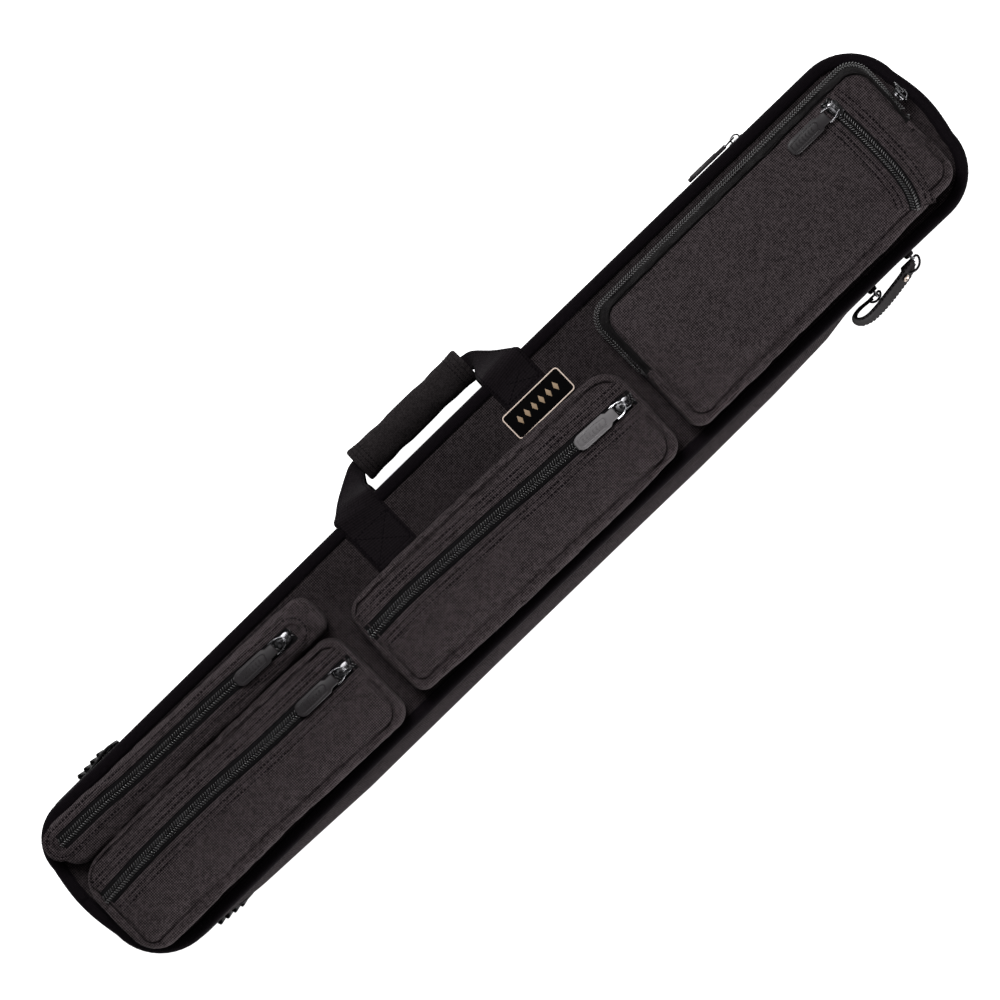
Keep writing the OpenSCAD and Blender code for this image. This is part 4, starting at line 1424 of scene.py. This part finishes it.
def d_ring(y, radius, reach):
    """A D of black wire: a straight bar by the case and a bow away from it."""
    bar_x = 79.2 + lx
    z = lz + 40
    turns = np.linspace(0.18, math.pi - 0.18, 13)
    bow = [(bar_x + reach * math.sin(t), y + radius * math.cos(t), z) for t in turns]
    line = [(bar_x, y - radius * 0.86, z), (bar_x, y + radius * 0.86, z), *bow]
    line = np.array(line + line[:1])
    return wire(resample(line, 0.9)[0][:-1], 0.95, 10, closed=True)


d_rings = joined(d_ring(343.5 + ly, 8.3, 8.2), d_ring(307 + ly, 5.6, 4.5))
piece("loop_d_ring_wires", d_rings, BLACK_METAL, "black_metal", "side_loop", ["loop_d_rings"])
anchor_low, anchor_high = node_box("loop_anchor_rings")
ANCHOR_RADIUS = 3.6
TAB = [(72.5, 3.4, 44.5), (75.2, 3.4, 44.0), (76.6, 3.2, 42), (76.6, 3.2, 38), (75.2, 3.4, 36),
       (72.5, 3.4, 35.5)]
anchors, tabs = [], []
for y in (anchor_high[1] - 0.9, anchor_low[1] + 0.9):
    centre = np.array([(anchor_low[0] + anchor_high[0]) / 2 + 0.2, y, (anchor_low[2] + anchor_high[2]) / 2])
    ring = []
    for t in np.linspace(0, 2 * math.pi, 24, endpoint=False):
        ring.append(centre + ANCHOR_RADIUS * np.array([math.cos(t), 0.12 * math.sin(2 * t), math.sin(t)]))
    anchors.append(wire(ring, 0.85, 10, closed=True))
    edges = [[(x, y + side * half, z) for x, half, z in TAB] for side in (-1, 1)]
    tabs.append(ribbon(*edges, 1.2, 4, 1.5))
piece("loop_anchor_wires", joined(*anchors), RING_METAL, "ring_metal", "lid", ["loop_anchor_rings"])
piece("loop_anchor_tabs", joined(*[t[0] for t in tabs]), WEBBING, "webbing", "lid",
      along=np.concatenate([t[1] for t in tabs]), across=np.concatenate([t[2] for t in tabs]))


# ---- CAD pieces that stay as they are, with better materials ----

def finish_node(node, material):
    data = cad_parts[node].data
    data.materials.clear()
    data.materials.append(material)


for number in range(1, 5):
    finish_node(f"butt_tube_{number}", TUBE_PLASTIC)
finish_node("shaft_tubes", TUBE_PLASTIC)

# Moulded boot round the foot of the case, with grip ribs near its upper end
boot_low, boot_high = node_box("base_boot")
in_boot = np.array([i for i in LOWER if case_outline[i][1] < boot_high[1] + 10])
BOOT = [(-0.9, 3), (-0.9, 38), (-0.2, boot_high[2] - 1.0), (-0.9, boot_high[2]), (-1.9, boot_high[2] - 0.6),
        (-2.5, boot_high[2] - 3), (-2.7, 30), (-2.7, 12), (-2.5, 4), (-2.0, 1.2), (-1.1, 0.3), (1.5, 0.1),
        (1.5, 0.6), (-0.4, 1.2)]
boot_rows = [row[in_boot] for row in raised(case_outline, BOOT[::-1])]
for row in boot_rows:
    row[:, 0] += np.sign(row[:, 0]) * 3.6 * np.exp(-(((row[:, 1] - boot_high[1]) / 13) ** 2))
ribs = []
for sign, reach in ((-1, boot_low[0] + 3.4), (1, boot_high[0] - 1.6)):
    for k in range(4):
        y = boot_high[1] - 7 - 7 * k
        edge = min((p for p in case_outline if p[0] * sign > 0), key=lambda p: abs(p[1] - y))[0]
        tip = reach - sign * 0.55 * k
        for a in (edge, mixed(edge, tip, 0.5)):
            corners = [(0, -2.2), (tip - a, -1.1), (tip - a, 1.1), (0, 2.2)][::sign]
            rib_loop = outline(corners, (0.4, 0.9, 0.9, 0.4)[::sign], short=4, long=4, arc=3)
            points, faces = slab(rib_loop, 5, boot_high[2] - 4, 1.0)
            ribs.append((points + [a, y, 0], faces))
boot = joined(swept(boot_rows, False), *ribs)
piece("boot_ribbed", boot, BOOT_RUBBER, "boot_rubber", "case", ["base_boot"])

# A tape inside the back holds the lid to the case
tape_y = lid_y + lid_gap / 2
half_x = 66
a = [(-half_x, tape_y + d, 5.6) for d in (-9, -5, -2, 0, 2, 5, 9)]
b = [(half_x, y, z) for _, y, z in a]
shape, along, across = ribbon(a, b, 0.9, 12, 1.5)
hinge = piece("lid_hinge_tape", shape, BINDING, "binding", along=across, across=along)
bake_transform(hinge)


# ---- Floor ----

floor_nodes = Nodes("floor", 0.9)
floor_cloud = floor_nodes.noise(floor_nodes.place(), 3.0)
floor_nodes.colour(floor_cloud, (0.0, (0.93, 0.93, 0.93)), (1.0, (0.97, 0.97, 0.97)))
floor_nodes.bsdf.inputs["Emission Color"].default_value = (1, 1, 1, 1)
floor_nodes.bsdf.inputs["Emission Strength"].default_value = 1.0
floor_mesh = bpy.data.meshes.new("floor")
floor_corners = [(x * 6, y * 6, -0.0005) for x, y in ((-1, -1), (1, -1), (1, 1), (-1, 1))]
floor_mesh.from_pydata(floor_corners, [], [(0, 1, 2, 3)])
floor_mesh.materials.append(floor_nodes.material)
floor = bpy.data.objects.new("floor", floor_mesh)
bpy.context.scene.collection.objects.link(floor)
